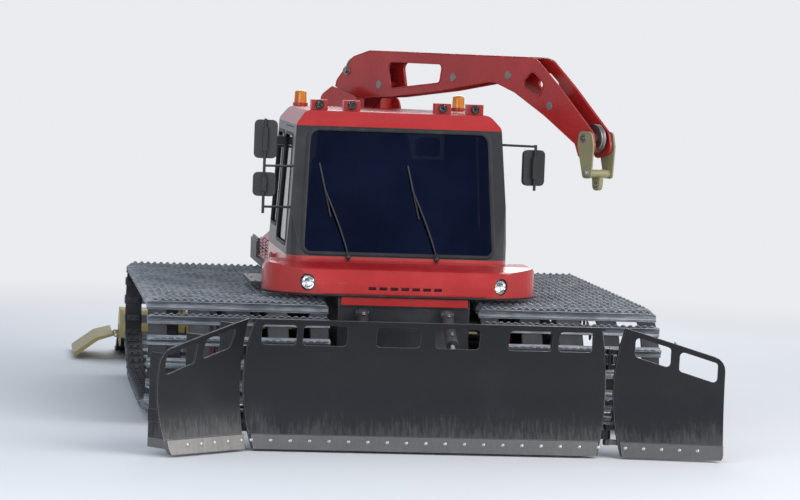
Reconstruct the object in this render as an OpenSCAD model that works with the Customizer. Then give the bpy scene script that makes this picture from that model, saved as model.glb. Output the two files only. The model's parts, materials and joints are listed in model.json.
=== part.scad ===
// Snow groomer with a slewing winch boom, a front blade with folding wings and a rear tiller.
// Forward is -Y, the machine's left is +X, up is +Z. The origin is on the ground, midway between the
// tracks and midway along the machine. All sizes are in millimetres.

/* [Tracks and wheels] */
// Distance from the middle of the machine to the inner edge of each track
track_in = 620; // [600:5:680]
// Width of each track, along its crossbars
track_w = 1480; // [1300:10:1600]
// Height of a crossbar above the belt
shoe_h = 90; // [60:5:110]
// Thickness of the rubber belts
belt_t = 22; // [16:1:30]
// Number of crossbars on each track
shoe_count = 56; // [50:1:62]
// Width of a crossbar's foot on the belt
shoe_foot = 84; // [70:2:100]
// Width of a crossbar's ice edge
shoe_tip = 22; // [14:1:34]
// Radius of the road wheels and of the front idler
wheel_r = 360; // [330:5:370]
// Distance between two road wheels
wheel_pitch = 760; // [750:5:790]
// Width of a tyre
tyre_w = 240; // [200:5:260]
// Radius of the rims
rim_r = 215; // [190:5:230]
// Distance of the front idler ahead of the middle of the track
idler_y = 1905; // [1880:5:1940]
// Height of the idler's axle above the road wheels' axles
idler_rise = 95; // [60:5:120]
// Distance of the drive sprocket behind the middle of the track
sprocket_y = 1900; // [1860:5:1940]
// Height of the sprocket's axle above the road wheels' axles
sprocket_rise = 160; // [120:5:180]
// Radius of the drive sprocket
sprocket_r = 300; // [270:5:320]

/* [Hull and deck] */
// Half the width of the hull between the tracks
hull_half = 540; // [500:5:550]
// Height of the hull's belly above the ground
belly_z = 340; // [300:5:380]
// Top of the hull
hull_top = 1000; // [960:5:1010]
// Rear face of the hull, behind the middle of the track
hull_rear = 2190; // [2150:5:2240]
// Front face of the hull, ahead of the middle of the track
hull_front = 2040; // [2000:5:2080]
// Top of the deck that carries the cab, the engine housing and the load platform
deck_z = 1132; // [1125:1:1150]
// Thickness of the deck's plate
deck_t = 45; // [35:1:50]
// Thickness of the bed plate on the load platform
bed_t = 10; // [6:1:14]
// Half the width of the nose ahead of the cab
nose_half = 1130; // [1060:10:1180]

/* [Cab] */
// Half the width of the cab at its floor
cab_half = 930; // [900:5:960]
// Half the width of the cab below the roof
cab_top_half = 864; // [840:2:900]
// Height of the roof above the ground
roof_z = 2570; // [2520:5:2600]
// Thickness of the cab's walls and doors
wall = 52; // [40:1:60]
// Height of the windscreen's lower edge above the ground
sill_z = 1345; // [1320:5:1380]
// Front of the cab at the sill, ahead of the middle of the track
cab_front = 1530; // [1500:5:1560]
// Set-back of the windscreen's top edge from its foot
screen_rake = 235; // [150:5:280]
// Rear wall of the cab, behind the middle of the track
cab_rear = 395; // [360:5:410]
// Thickness of the window glass
glass_t = 8; // [5:1:12]
// Rear edge of the doors, ahead of the middle of the track
door_rear = 330; // [300:5:360]
// Gap between a door and its frame
door_gap = 6; // [5:0.5:9]

/* [Winch] */
// Distance of the slewing axis behind the middle of the track
winch_y = 1015; // [1005:5:1060]
// Underside of the turntable above the ground
winch_z = 1452; // [1446:2:1480]
// Direction of the boom, turned from straight ahead to the machine's left
boom_turn = 31; // [25:1:40]
// Height of the boom's top above the cab's roof
boom_rise = 500; // [470:5:530]
// Half the distance between the boom's two cheeks
boom_half = 95; // [80:5:110]
// Thickness of the boom's cheeks
cheek_t = 16; // [12:1:20]
// Radius of the drum's flanges
drum_r = 330; // [300:5:340]
// Diameter of the rope
rope_d = 11; // [9:1:14]

/* [Blade] */
// Half the width of the blade's middle section
blade_half = 1450; // [1400:10:1500]
// Length of each folding wing
wing_len = 900; // [850:10:930]
// Height of the blade
blade_h = 1000; // [950:10:1050]
// Radius of the blade's hollow front face
blade_r = 900; // [850:10:1000]
// Thickness of the blade's plate
blade_t = 16; // [12:1:20]
// Gap under the blade as it stands
blade_clear = 18; // [10:1:25]
// Foremost line of the blade's belly, ahead of the middle of the track
blade_y = 3560; // [3540:5:3580]
// How far the left wing is folded forward
wing_turn_left = 8; // [4:1:12]
// How far the right wing is folded forward
wing_turn_right = 40; // [30:1:44]
// Drop of a wing's top edge at its outer end
wing_drop = 230; // [180:5:260]
// Height of the windows under the top rail of the blade
window_h = 160; // [120:5:180]
// Height of that rail
rail_h = 45; // [35:1:60]

/* [Tiller] */
// Half the width of the tiller's hood
tiller_half = 2100; // [2050:10:2130]
// Length of each side flap
flap_len = 430; // [400:10:440]
// Distance of the rotor's axis behind the middle of the track
rotor_y = 3330; // [3300:5:3360]
// Height of the rotor's axis above the ground
rotor_z = 262; // [255:1:275]
// Radius of the rotor at the tips of its teeth
rotor_r = 200; // [180:2:210]
// Length of the finishing comb behind the hood
comb_len = 680; // [650:5:700]

/* [Hidden] */
$fn = 48;

// Gap between faces that rest on each other, and running gap of a pin in its eye
seat_gap = 0.3;
pin_gap = 0.06;
// Gap between a piece that moves and what it passes
move_gap = 6;
// Slack of the belt over the wheels, which lets its flat links pass round them
link = (2 * (idler_y + sprocket_y) + PI * (wheel_r + sprocket_r) + 140) / shoe_count;
belt_gap = pow(max(shoe_foot, link - shoe_foot), 2) / 8 / sprocket_r + 0.1;

boom_top = roof_z + boom_rise;
mid_x = track_in + track_w / 2;
road_z = shoe_h + belt_t + belt_gap + wheel_r;
idler_z = road_z + idler_rise;
sprocket_z = road_z + sprocket_rise;
road_y = [for (i = [-1.5:1:1.5]) i * wheel_pitch];

// Helpers for outlines and placing

function unit(v) = v / norm(v);

// The arc that rounds corner p, between its neighbours a and b
function fillet(a, p, b, r, n) =
    r <= 0 ? [p] :
    let (u = unit(a - p), v = unit(b - p), half = acos(u * v) / 2,
         c = p + unit(u + v) * r / sin(half),
         s = p + u * r / tan(half) - c,
         e = p + v * r / tan(half) - c,
         a0 = atan2(s[1], s[0]),
         turn = atan2(e[1], e[0]) - a0,
         sweep = turn > 180 ? turn - 360 : turn < -180 ? turn + 360 : turn)
    [for (i = [0:n]) c + r * [cos(a0 + sweep * i / n), sin(a0 + sweep * i / n)]];

// An outline from rows of [across, up, corner radius]
function rounded(rows, n = 4) =
    let (m = len(rows))
    [for (i = [0:m - 1])
        let (p = rows[i], a = rows[(i + m - 1) % m], b = rows[(i + 1) % m])
        each fillet([a[0], a[1]], [p[0], p[1]], [b[0], b[1]], p[2], n)];

// The outline of two round ends of radii ra and rb, at a and b, and the straight sides between them
function capsule(a, ra, b, rb, n = 8) =
    let (d = b - a, t = atan2(d[1], d[0]), g = acos((ra - rb) / norm(d)))
    concat([for (i = [0:n]) b + rb * [cos(t - g + 2 * g * i / n), sin(t - g + 2 * g * i / n)]],
        [for (i = [0:n]) a + ra * [cos(t + g + (360 - 2 * g) * i / n), sin(t + g + (360 - 2 * g) * i / n)]]);

// Extrusions along each axis: the outline is in (Y, Z), (X, Z) or (X, Y)
module along_x(x0, x1) {
    translate([x0, 0, 0]) rotate([90, 0, 90]) linear_extrude(x1 - x0) children();
}
module along_y(y0, y1) {
    translate([0, y1, 0]) rotate([90, 0, 0]) linear_extrude(y1 - y0) children();
}
module along_z(z0, z1) {
    translate([0, 0, z0]) linear_extrude(z1 - z0) children();
}
module box(lo, hi) {
    translate(lo) cube(hi - lo);
}
module both() {
    children();
    mirror([1, 0, 0]) children();
}
// A round bar between two points
module bar(a, b, r) {
    d = b - a;
    translate(a) rotate([0, acos(d[2] / norm(d)), atan2(d[1], d[0])]) cylinder(h = norm(d), r = r);
}
// A tube along an axis, centred on the origin
module ring(r_out, r_in, h) {
    difference() {
        cylinder(h = h, r = r_out, center = true);
        cylinder(h = h + 2, r = r_in, center = true);
    }
}

// Hydraulic cylinders. Each lies along +X of its own frame, with its base pin at the origin.
// Rows: outer radius, rod radius, pin radius, width of the eyes, room round the pin in the rod's eye
big_ram = [48, 26, 20, 56, 14];
small_ram = [38, 20, 16, 44, 16];

module ram_barrel(ram, length) {
    cap = 20;
    foot = ram[2] + 36;
    difference() {
        union() {
            cylinder(h = ram[3], r = ram[2] + 20, center = true);
            rotate([0, 90, 0]) cylinder(h = foot + 5, r = ram[3] / 2 - 2);
            translate([foot, 0, 0]) rotate([0, 90, 0]) cylinder(h = length - foot, r = ram[0]);
        }
        translate([foot + cap, 0, 0]) rotate([0, 90, 0]) cylinder(h = length - foot - 2 * cap, r = ram[0] - 9);
        translate([foot + cap, 0, 0]) rotate([0, 90, 0]) cylinder(h = length, r = ram[1] + seat_gap);
        cylinder(h = ram[3] + 60, r = ram[2] + pin_gap, center = true);
    }
}
// The rod from its piston, which stands at start, to the eye at reach. The eye has room round its pin,
// because the rod moves in step with the arm at a constant ratio and not along the pin's true path.
module ram_rod(ram, start, reach) {
    hole = ram[2] + ram[4];
    difference() {
        union() {
            translate([start, 0, 0]) rotate([0, 90, 0]) cylinder(h = reach - hole - start, r = ram[1]);
            translate([start, 0, 0]) rotate([0, 90, 0]) cylinder(h = 30, r = ram[0] - 9 - seat_gap);
            translate([reach, 0, 0]) cylinder(h = ram[3], r = hole + 13, center = true);
        }
        translate([reach, 0, 0]) cylinder(h = 3 * ram[3], r = hole, center = true);
    }
}
// Two cheeks and a pin that hold an eye at the origin, with a foot on the plane below it
module clevis(ram, foot) {
    gap = ram[3] / 2 + 2;
    for (s = [-1, 1]) {
        translate([0, 0, s * (gap + 9)]) {
            linear_extrude(18, center = true)
                polygon(rounded([[-ram[2] - 12, -foot, 0], [ram[2] + 12, -foot, 0],
                    [ram[2] + 12, ram[2] + 14, ram[2] + 10], [-ram[2] - 12, ram[2] + 14, ram[2] + 10]]));
        }
    }
    cylinder(h = 2 * gap + 44, r = ram[2], center = true);
}

// Track: a loop of flat links round four wheels, with a crossbar on each link

loop = [
    [road_y[0], road_z, wheel_r + belt_gap],
    [road_y[3], road_z, wheel_r + belt_gap],
    [sprocket_y, sprocket_z, sprocket_r + belt_gap],
    [-idler_y, idler_z, wheel_r + belt_gap]
];
// Direction of the belt's outward side between wheel i and the next one
function side_dir(i) =
    let (a = loop[i % 4], b = loop[(i + 1) % 4], d = norm([b[0] - a[0], b[1] - a[1]]))
    atan2(b[1] - a[1], b[0] - a[0]) - acos((a[2] - b[2]) / d);
function run_len(i) =
    let (a = loop[i % 4], b = loop[(i + 1) % 4])
    sqrt(pow(b[0] - a[0], 2) + pow(b[1] - a[1], 2) - pow(a[2] - b[2], 2));
function wrap_angle(i) = (side_dir(i) - side_dir(i + 3) + 720) % 360;
function wrap_len(i) = wrap_angle(i) * PI / 180 * loop[i][2];
loop_len = run_len(0) + run_len(1) + run_len(2) + run_len(3)
    + wrap_len(0) + wrap_len(1) + wrap_len(2) + wrap_len(3);
// The point at distance s along the loop, raised by h from the belt's inner side
function loop_point(s, h, i = 0) =
    s < wrap_len(i) ?
        let (a = side_dir(i + 3) + s / loop[i][2] * 180 / PI)
        [loop[i][0], loop[i][1]] + (loop[i][2] + h) * [cos(a), sin(a)] :
    s < wrap_len(i) + run_len(i) || i == 3 ?
        let (a = side_dir(i))
        [loop[i][0], loop[i][1]] + (loop[i][2] + h) * [cos(a), sin(a)]
            + (s - wrap_len(i)) * [-sin(a), cos(a)] :
        loop_point(s - wrap_len(i) - run_len(i), h, i + 1);

shoe_pitch = loop_len / shoe_count;
// Start of the first link, chosen so that a crossbar stands flat under the machine
loop_start = wrap_len(0) + 10;
function at(i, ds, h) = loop_point((loop_start + (i + 0.5) * shoe_pitch + ds + loop_len) % loop_len, h);

// A crossbar stands square to the chord of its link
function crossbar(i) =
    let (half = shoe_foot / 2, a = at(i, -half, belt_t), b = at(i, half, belt_t),
         u = unit(b - a), n = [u[1], -u[0]], m = (a + b) / 2)
    [a, m - u * shoe_tip / 2 + n * shoe_h, m + u * shoe_tip / 2 + n * shoe_h, b];
module track() {
    half = shoe_foot / 2;
    along_x(track_in, track_in + track_w) difference() {
        polygon([for (i = [0:shoe_count - 1]) each crossbar(i)]);
        polygon([for (i = [0:shoe_count - 1]) each [at(i, -half, 0), at(i, half, 0)]]);
    }
}
module track_left() color("dimgray") track();
module track_right() color("dimgray") mirror([1, 0, 0]) track();

// Wheels

// Rows: distance behind the middle of the track, height
road_wheels = concat([for (y = road_y) [y, road_z]], [[-idler_y, idler_z]]);

module on_wheels() {
    both() for (w = road_wheels) translate([mid_x, w[0], w[1]]) rotate([0, 90, 0]) children();
}
module tyres() color("black") {
    half = tyre_w / 2;
    on_wheels() rotate_extrude()
        polygon([[rim_r, -half + 16], [wheel_r - 60, -half], [wheel_r, -half + 56],
            [wheel_r, half - 56], [wheel_r - 60, half], [rim_r, half - 16]]);
}
module rims() color("firebrick") {
    half = tyre_w / 2;
    hub = 78;
    on_wheels() difference() {
        rotate_extrude() polygon([[0, -half - 20], [hub, -half - 20], [hub, -8], [rim_r - 26, 22],
            [rim_r - 22, -half + 24], [rim_r - seat_gap, -half + 24], [rim_r - seat_gap, half - 24],
            [rim_r - 22, half - 24], [rim_r - 26, 42], [hub, 12], [hub, 46], [0, 46]]);
        for (a = [0:72:288]) rotate(a) translate([(hub + rim_r) / 2 - 6, 0, 0])
            cylinder(h = 200, r = 26, center = true);
    }
}
module sprockets() color("dimgray") {
    teeth = 14;
    root = sprocket_r - 34;
    tip = sprocket_r;
    outline = [for (i = [0:teeth - 1]) each let (p = 360 / teeth)
        [root * [cos(i * p - p * 0.32), sin(i * p - p * 0.32)], tip * [cos(i * p - p * 0.12), sin(i * p - p * 0.12)],
         tip * [cos(i * p + p * 0.12), sin(i * p + p * 0.12)], root * [cos(i * p + p * 0.32), sin(i * p + p * 0.32)]]];
    both() translate([mid_x, sprocket_y, sprocket_z]) rotate([0, 90, 0]) {
        for (s = [-1, 1]) translate([0, 0, s * 118]) linear_extrude(46, center = true) difference() {
            polygon(outline);
            for (a = [0:60:300]) rotate(a) translate([root * 0.68, 0]) circle(r = 34);
        }
        cylinder(h = 300, r = 110, center = true);
        translate([0, 0, -mid_x + hull_half + 57.3 + seat_gap]) cylinder(h = mid_x - hull_half - 58, r = 84);
    }
}
module axles() color("black") both() {
    stub = 44;
    for (w = road_wheels) {
        pivot = [w[0] + (w[0] < -idler_y + 10 ? 330 : 260), road_z + 150];
        along_x(hull_half + seat_gap, hull_half + 48) polygon(capsule(pivot, 78, w, 60));
        translate([hull_half + 20, w[0], w[1]]) rotate([0, 90, 0])
            cylinder(h = mid_x - tyre_w / 2 - 20 - seat_gap - hull_half - 20, r = stub);
    }
    // Final drive that carries the sprocket
    translate([hull_half + seat_gap, sprocket_y, sprocket_z]) rotate([0, 90, 0]) cylinder(h = 57, r = 150);
}

// Hull and deck

module chassis() color("black") {
    difference() {
        along_x(-hull_half, hull_half) polygon(rounded([[-hull_front, hull_top, 0], [-hull_front, 520, 40],
            [-hull_front + 330, belly_z, 120], [hull_rear - 260, belly_z, 120], [hull_rear, 520, 60],
            [hull_rear, hull_top, 0]]));
        // Room for the pivots of the push frame and of the tiller's arms
        for (s = [-1, 1]) {
            box([s * arm_x - 74, -hull_front - 1, frame_z - 130], [s * arm_x + 74, -hull_front + 150, frame_z + 110]);
            box([s * hoist_x - 66, hull_rear - 150, hoist_z - 150], [s * hoist_x + 66, hull_rear + 1, hoist_z + 150]);
        }
        // Engine bay
        box([-340, cab_rear + 140, hull_top - 420], [340, cab_rear + 1160, hull_top + 1]);
    }
    for (s = [-1, 1]) {
        bar([s * arm_x - 74, -frame_y, frame_z], [s * arm_x + 74, -frame_y, frame_z], frame_pin);
        bar([s * hoist_x - 66, hoist_y, hoist_z], [s * hoist_x + 66, hoist_y, hoist_z], frame_pin);
    }
    // Towing eye ahead of the hull's face, open from below
    along_z(tow_z, tow_z + tow_t) difference() {
        polygon(rounded([[-tow_r - 40, -hull_front + 10, 0], [-tow_r - 30, -tow_y - tow_r - 30, tow_r + 20],
            [tow_r + 30, -tow_y - tow_r - 30, tow_r + 20], [tow_r + 40, -hull_front + 10, 0]]));
        translate([0, -tow_y]) circle(r = tow_r);
    }
    // Clevises of the blade's lift cylinders and of the tiller's
    for (s = [-1, 1]) {
        translate([s * arm_x, -lift_base[0], lift_base[1]]) rotate([0, 90, 0]) rotate([0, 0, 180])
            clevis(big_ram, lift_base[0] - hull_front + 1);
        translate([s * ram_x, hoist_base[0], hoist_base[1]]) rotate([0, 90, 0])
            clevis(big_ram, hoist_base[0] - hull_rear + 1);
    }
}
tow_r = 26;
tow_t = 48;
tow_y = hull_front + 60;
tow_z = 570;

module deck() color("dimgray") difference() {
    union() {
        along_y(-hull_front, -cab_front + 60) polygon([[-hull_half, hull_top], [hull_half, hull_top],
            [hull_half, deck_z - deck_t - 12], [-hull_half, deck_z - deck_t - 12]]);
        along_y(-cab_front + 60, platform_rear) polygon([[-hull_half, hull_top], [hull_half, hull_top],
            [hull_half, deck_z - deck_t], [cab_half, deck_z - deck_t], [cab_half, deck_z],
            [-cab_half, deck_z], [-cab_half, deck_z - deck_t], [-hull_half, deck_z - deck_t]]);
        // Side rails of the load platform
        both() box([cab_half - 50, housing_rear + 10, deck_z - 1], [cab_half, platform_rear, deck_z + 150]);
        // Bed plate that carries the load
        box([-bed_half, housing_rear + 30, deck_z - 1], [bed_half, platform_rear - 10, deck_z + bed_t]);
    }
    // Sockets for a load on the platform
    for (x = [-1, 1]) for (y = [0, 1])
        translate([x * load_x / 2, load_y + (y - 0.5) * load_len, deck_z - 60]) cylinder(h = 120, r = load_r);
}
platform_rear = 2330;
housing_rear = 1660;
bed_half = cab_half - 210;
load_x = 1200;
load_len = 360;
load_y = 2000;
load_r = 11;

module nose() color("firebrick") {
    low = deck_z - deck_t - 10;
    difference() {
        intersection() {
            along_x(-nose_half, nose_half) polygon(rounded([[-cab_front + 45, low, 0], [-cab_front + 45, sill_z - 2, 0],
                [-cab_front - 200, sill_z - 12, 120], [-cab_front - 520, sill_z - 60, 160],
                [-nose_front, low, 30]], 5));
            along_z(low, sill_z) polygon(rounded([[-nose_half, -cab_front + 45, 0], [-nose_half, -cab_front - 240, 320],
                [-nose_half + 400, -nose_front, 380], [nose_half - 400, -nose_front, 380],
                [nose_half, -cab_front - 240, 320], [nose_half, -cab_front + 45, 0]], 6));
            along_y(-nose_front - 40, -cab_front + 50) polygon(rounded([[-nose_half, low, 30],
                [-nose_half, sill_z, 90], [nose_half, sill_z, 90], [nose_half, low, 30]], 5));
        }
        // The cab's foot stands in the back of the nose
        box([-cab_half - 1, -cab_front - seat_gap, deck_z - 1], [cab_half + 1, -cab_front + 60, sill_z + 10]);
        // Recesses of the headlamps
        both() translate([lamp_x, -lamp_y, lamp_z]) rotate([90, 0, lamp_turn]) cylinder(h = 260, r = lamp_r);
        // Slots of the heater's grille
        for (i = [-3:3]) box([i * 90 - 32, -nose_front - 40, low + 60], [i * 90 + 32, -nose_front + 90, low + 84]);
    }
    // Apron that closes the gap ahead of the hull
    box([-hull_half + 20, -nose_front + 12, hull_top + 10], [hull_half - 20, -hull_front - move_gap, low + 10]);
}
nose_front = cab_front + 560;
// The lamps look outward by this turn, each on the rounded corner of the nose
lamp_turn = 30;
lamp_x = nose_half - 368;
lamp_y = nose_front - 125;
lamp_z = 1185;
lamp_r = 68;

module headlamps() color("white") both() {
    translate([lamp_x, -lamp_y, lamp_z]) rotate([90, 0, lamp_turn]) translate([0, 0, seat_gap]) {
        cylinder(h = 60, r = lamp_r - 6);
        cylinder(h = 18, r = lamp_r - seat_gap);
    }
}

// Cab: a shell whose outside is the meeting of a side view, a front view and a plan

function cab_side(d) = [
    [-cab_front + 20 + d, deck_z + d, 0], [-cab_front + d, sill_z, 0],
    [-cab_front + screen_rake + d, roof_z - 90, 0], [-cab_front + screen_rake + 110 + d, roof_z - d, 70],
    [cab_rear - 20 - d, roof_z - d, 60], [cab_rear - d, roof_z - 130, 40], [cab_rear - d, deck_z + d, 0]];
function cab_face(d) = [
    [-cab_half + d, deck_z + d, 0], [-cab_half + d, sill_z, 0], [-cab_top_half + d, roof_z - 110, 60],
    [-cab_top_half + 90 + d, roof_z - d, 90], [cab_top_half - 90 - d, roof_z - d, 90],
    [cab_top_half - d, roof_z - 110, 60], [cab_half - d, sill_z, 0], [cab_half - d, deck_z + d, 0]];
function cab_plan(d) = [
    [-cab_half + d, -cab_front + d, 190 - d], [cab_half - d, -cab_front + d, 190 - d],
    [cab_half - d, cab_rear - d, 70 - d], [-cab_half + d, cab_rear - d, 70 - d]];
module cab_form(d) {
    intersection() {
        along_x(-cab_half - 1, cab_half + 1) polygon(rounded(cab_side(d), 4));
        along_y(-cab_front - 1, cab_rear + 1) polygon(rounded(cab_face(d), 4));
        along_z(deck_z + d, roof_z - d) polygon(rounded(cab_plan(d), 5));
    }
}
// Openings of the front, rear and side windows and of the doors, each grown by g
function screen_open(g) = [
    [-cab_half + 125 - g, sill_z + 45 - g, 70], [cab_half - 125 + g, sill_z + 45 - g, 70],
    [cab_top_half - 105 + g, roof_z - 150 + g, 90], [-cab_top_half + 105 - g, roof_z - 150 + g, 90]];
function rear_open(g) = [
    [-640 - g, sill_z + 330 - g, 60], [640 + g, sill_z + 330 - g, 60],
    [620 + g, roof_z - 190 + g, 60], [-620 - g, roof_z - 190 + g, 60]];
function door_open(g) = [
    [-cab_front + 210 - g, deck_z + 62 - g, 50], [-cab_front + 185 - g, sill_z + 10, 0],
    [-cab_front + screen_rake + 175 - g, roof_z - 150 + g, 80], [-door_rear + g, roof_z - 150 + g, 60],
    [-door_rear + g, deck_z + 62 - g, 50]];
function door_pane(g) = [
    [-cab_front + 260 - g, sill_z + 95 - g, 60], [-cab_front + screen_rake + 225 - g, roof_z - 215 + g, 70],
    [-door_rear - 70 + g, roof_z - 215 + g, 60], [-door_rear - 70 + g, sill_z + 95 - g, 60]];
function side_pane(g) = [
    [-door_rear + 95 - g, sill_z + 200 - g, 50], [-door_rear + 95 - g, roof_z - 215 + g, 50],
    [cab_rear - 110 + g, roof_z - 215 + g, 50], [cab_rear - 110 + g, sill_z + 200 - g, 50]];

// The cab's outside at the height z
function wall_x(z) = cab_half - max(0, z - sill_z) * (cab_half - cab_top_half) / (roof_z - 110 - sill_z);
hinge_x = max(cab_half, cab_top_half) + 26;
hinge_y = -door_rear + 26;
hinge_zs = [sill_z - 90, roof_z - 300];
hinge_pin = 9;

module cab_shell() color("firebrick") {
    difference() {
        cab_form(0);
        cab_form(wall);
        along_y(-cab_front - 10, -cab_front + 480) polygon(rounded(screen_open(0)));
        along_y(cab_rear - 100, cab_rear + 10) polygon(rounded(rear_open(0)));
        along_x(-cab_half - 10, cab_half + 10) polygon(rounded(door_open(0)));
        along_x(-cab_half - 10, cab_half + 10) polygon(rounded(side_pane(0)));
    }
    // Hinge pins of the doors, each on a bracket
    both() for (z = hinge_zs) {
        translate([hinge_x, hinge_y, z - 50]) cylinder(h = 106, r = hinge_pin);
        box([wall_x(z) - 35, hinge_y - 12, z - 50], [hinge_x + 12, hinge_y + 60, z - 31]);
    }
    // Arms and tubes of the mirrors: a short one on the left, and a tall one with two arms on the right
    bar([cab_top_half - 20, mirror_y + 160, mirror_z + 180], [mirror_x, mirror_y, mirror_z + 180], mirror_arm);
    translate([mirror_x, mirror_y, mirror_z - 190]) cylinder(h = 384, r = mirror_tube);
    mirror([1, 0, 0]) {
        bar([cab_top_half - 9, mirror_y + 95, sill_z + 755], [mirror_x, mirror_y, sill_z + 755], mirror_arm);
        bar([cab_half - 62, mirror_y + 28, sill_z + 415], [mirror_x, mirror_y, sill_z + 415], mirror_arm);
        translate([mirror_x, mirror_y, sill_z + 360]) cylinder(h = roof_z - 80 - sill_z - 360, r = mirror_tube);
    }
}
// A thin layer of the shell, set in from its outside by d, where a pane lies
module cab_layer(d) {
    difference() {
        cab_form(d);
        cab_form(d + glass_t);
    }
}
module cab_glass() color("midnightblue") {
    inset = 14;
    intersection() {
        cab_layer(inset);
        along_y(-cab_front - 10, -cab_front + 480) polygon(rounded(screen_open(-seat_gap)));
    }
    intersection() {
        cab_layer(inset);
        along_y(cab_rear - 100, cab_rear + 10) polygon(rounded(rear_open(-seat_gap)));
    }
    intersection() {
        cab_layer(inset);
        along_x(-cab_half - 10, cab_half + 10) polygon(rounded(side_pane(-seat_gap)));
    }
}
module door_body() {
    difference() {
        intersection() {
            difference() {
                cab_form(0);
                cab_form(wall);
            }
            along_x(600, cab_half + 10) polygon(rounded(door_open(-door_gap)));
        }
        along_x(600, cab_half + 10) polygon(rounded(door_pane(0)));
    }
    for (z = hinge_zs) difference() {
        union() {
            translate([hinge_x, hinge_y, z - 24]) cylinder(h = 70, r = 19);
            box([wall_x(z) - 35, hinge_y - 74, z - 24], [hinge_x + 12, hinge_y - 30, z + 46]);
            box([hinge_x - 12, hinge_y - 60, z - 24], [hinge_x + 12, hinge_y - 2, z + 46]);
        }
        translate([hinge_x, hinge_y, z - 60]) cylinder(h = 140, r = hinge_pin + pin_gap);
    }
}
module door_pane_body() {
    intersection() {
        cab_layer(14);
        along_x(600, cab_half + 10) polygon(rounded(door_pane(-seat_gap)));
    }
}
module door_left() color("firebrick") door_body();
module door_right() color("firebrick") mirror([1, 0, 0]) door_body();
module door_left_glass() color("midnightblue") door_pane_body();
module door_right_glass() color("midnightblue") mirror([1, 0, 0]) door_pane_body();

seat_x = 400;
seat_y = -430;
module seats() color("dimgray") both() translate([seat_x, seat_y, deck_z + wall]) {
    cylinder(h = 200, r = 110);
    along_x(-240, 240) polygon(rounded([[-250, 190, 30], [-270, 290, 50], [170, 300, 60], [210, 360, 60],
        [330, 960, 36], [420, 940, 34], [330, 330, 60], [300, 190, 40]]));
    along_x(-130, 130) translate([345, 975]) rotate(-8) polygon(rounded([[-10, -40, 0], [-25, 110, 40],
        [60, 190, 40], [80, 60, 40], [70, -40, 0]]));
}
module console() color("dimgray") {
    z0 = deck_z + wall + seat_gap;
    // Dashboard across the foot of the windscreen
    along_x(-720, 720) polygon(rounded([[-cab_front + 110, z0, 0], [-cab_front + 100, sill_z + 20, 40],
        [-cab_front + 330, sill_z + 55, 60], [-cab_front + 420, sill_z - 80, 60], [-cab_front + 290, z0, 40]]));
    // Two control levers and the armrest between the seats
    along_x(-110, 110) polygon(rounded([[-820, z0, 0], [-800, z0 + 420, 50], [-250, z0 + 440, 60], [-230, z0, 0]]));
    for (s = [-1, 1]) {
        bar([s * 55, -700, z0 + 400], [s * 55, -730, z0 + 590], 14);
        translate([s * 55, -732, z0 + 600]) sphere(r = 34);
    }
}

module roof_lamps() color("goldenrod") {
    // A row of lamps over the windscreen, and a beacon at each rear corner
    for (x = [-660, -385, 385, 660]) translate([x, -cab_front + screen_rake + 250, roof_z + seat_gap]) {
        box([-70, -60, 0], [70, 60, 84]);
        translate([0, -60, 44]) rotate([90, 0, 0]) cylinder(h = 12, r = 34);
    }
    both() translate([700, cab_rear - 160, roof_z + seat_gap]) cylinder(h = 26, r = 66);
}
mirror_x = 1135;
mirror_y = -1440;
mirror_z = 2150;
mirror_arm = 10;
mirror_tube = 12;
mirror_half = 95;
// A mirror that looks back, clamped to its tube: height of its middle, and half its height
module one_mirror(z, half) difference() {
    union() {
        translate([mirror_x, mirror_y, z]) rotate([0, 0, 12]) along_y(20, 62)
            polygon(rounded([[-mirror_half, -half, 40], [mirror_half, -half, 40],
                [mirror_half, half, 40], [-mirror_half, half, 40]]));
        box([mirror_x - 20, mirror_y - 20, z - half * 0.6], [mirror_x + 20, mirror_y + 36, z + half * 0.6]);
    }
    translate([mirror_x, mirror_y, z - 2 * half]) cylinder(h = 4 * half, r = mirror_tube + seat_gap);
}
module mirrors() color("black") {
    one_mirror(mirror_z, 150);
    mirror([1, 0, 0]) {
        one_mirror(roof_z - 250, 160);
        one_mirror(sill_z + 600, 100);
    }
}

module platforms() color("dimgray") both() {
    // Tread plates beside the cab, on brackets from the deck
    box([cab_half + seat_gap, -1250, deck_z - 30], [cab_half + 270, -350, deck_z - 8]);
    box([cab_half + seat_gap, -1250, deck_z - deck_t], [cab_half + 14, -350, deck_z - 8]);
    for (y = [-1150, -450]) along_y(y, y + 30)
        polygon([[cab_half + seat_gap, deck_z - deck_t], [cab_half + 40, deck_z - deck_t], [cab_half + 250, deck_z - 29],
            [cab_half + seat_gap, deck_z - 29]]);
}

module engine_housing() color("firebrick") {
    top = winch_z - 24;
    front = cab_rear + 30;
    difference() {
        along_y(front, housing_rear) polygon(rounded([[-cab_half + 30, deck_z + seat_gap, 0],
            [-cab_half + 30, top - 130, 60], [-cab_half + 170, top, 60], [cab_half - 170, top, 60],
            [cab_half - 30, top - 130, 60], [cab_half - 30, deck_z + seat_gap, 0]]));
        along_y(front + 40, housing_rear - 40) polygon([[-cab_half + 70, deck_z - 1], [-cab_half + 70, top - 120],
            [-cab_half + 190, top - 40], [cab_half - 190, top - 40], [cab_half - 70, top - 120], [cab_half - 70, deck_z - 1]]);
        // Louvres in both sides
        for (i = [0:5]) for (k = [0:2]) box([-cab_half, front + 130 + k * 350, deck_z + 40 + i * 28],
            [cab_half, front + 130 + k * 350 + 270, deck_z + 52 + i * 28]);
    }
    // Fixed ring and spigot on which the winch slews
    translate([0, winch_y, top - 1]) cylinder(h = winch_z - top + 1, r = 330);
    translate([0, winch_y, top - 1]) cylinder(h = winch_z + 80 - top, r = slew_pin);
}
slew_pin = 120;
module engine_block() color("dimgray")
    box([-330, cab_rear + 150, hull_top - 420 + seat_gap], [330, cab_rear + 1150, hull_top - 10]);
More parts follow.
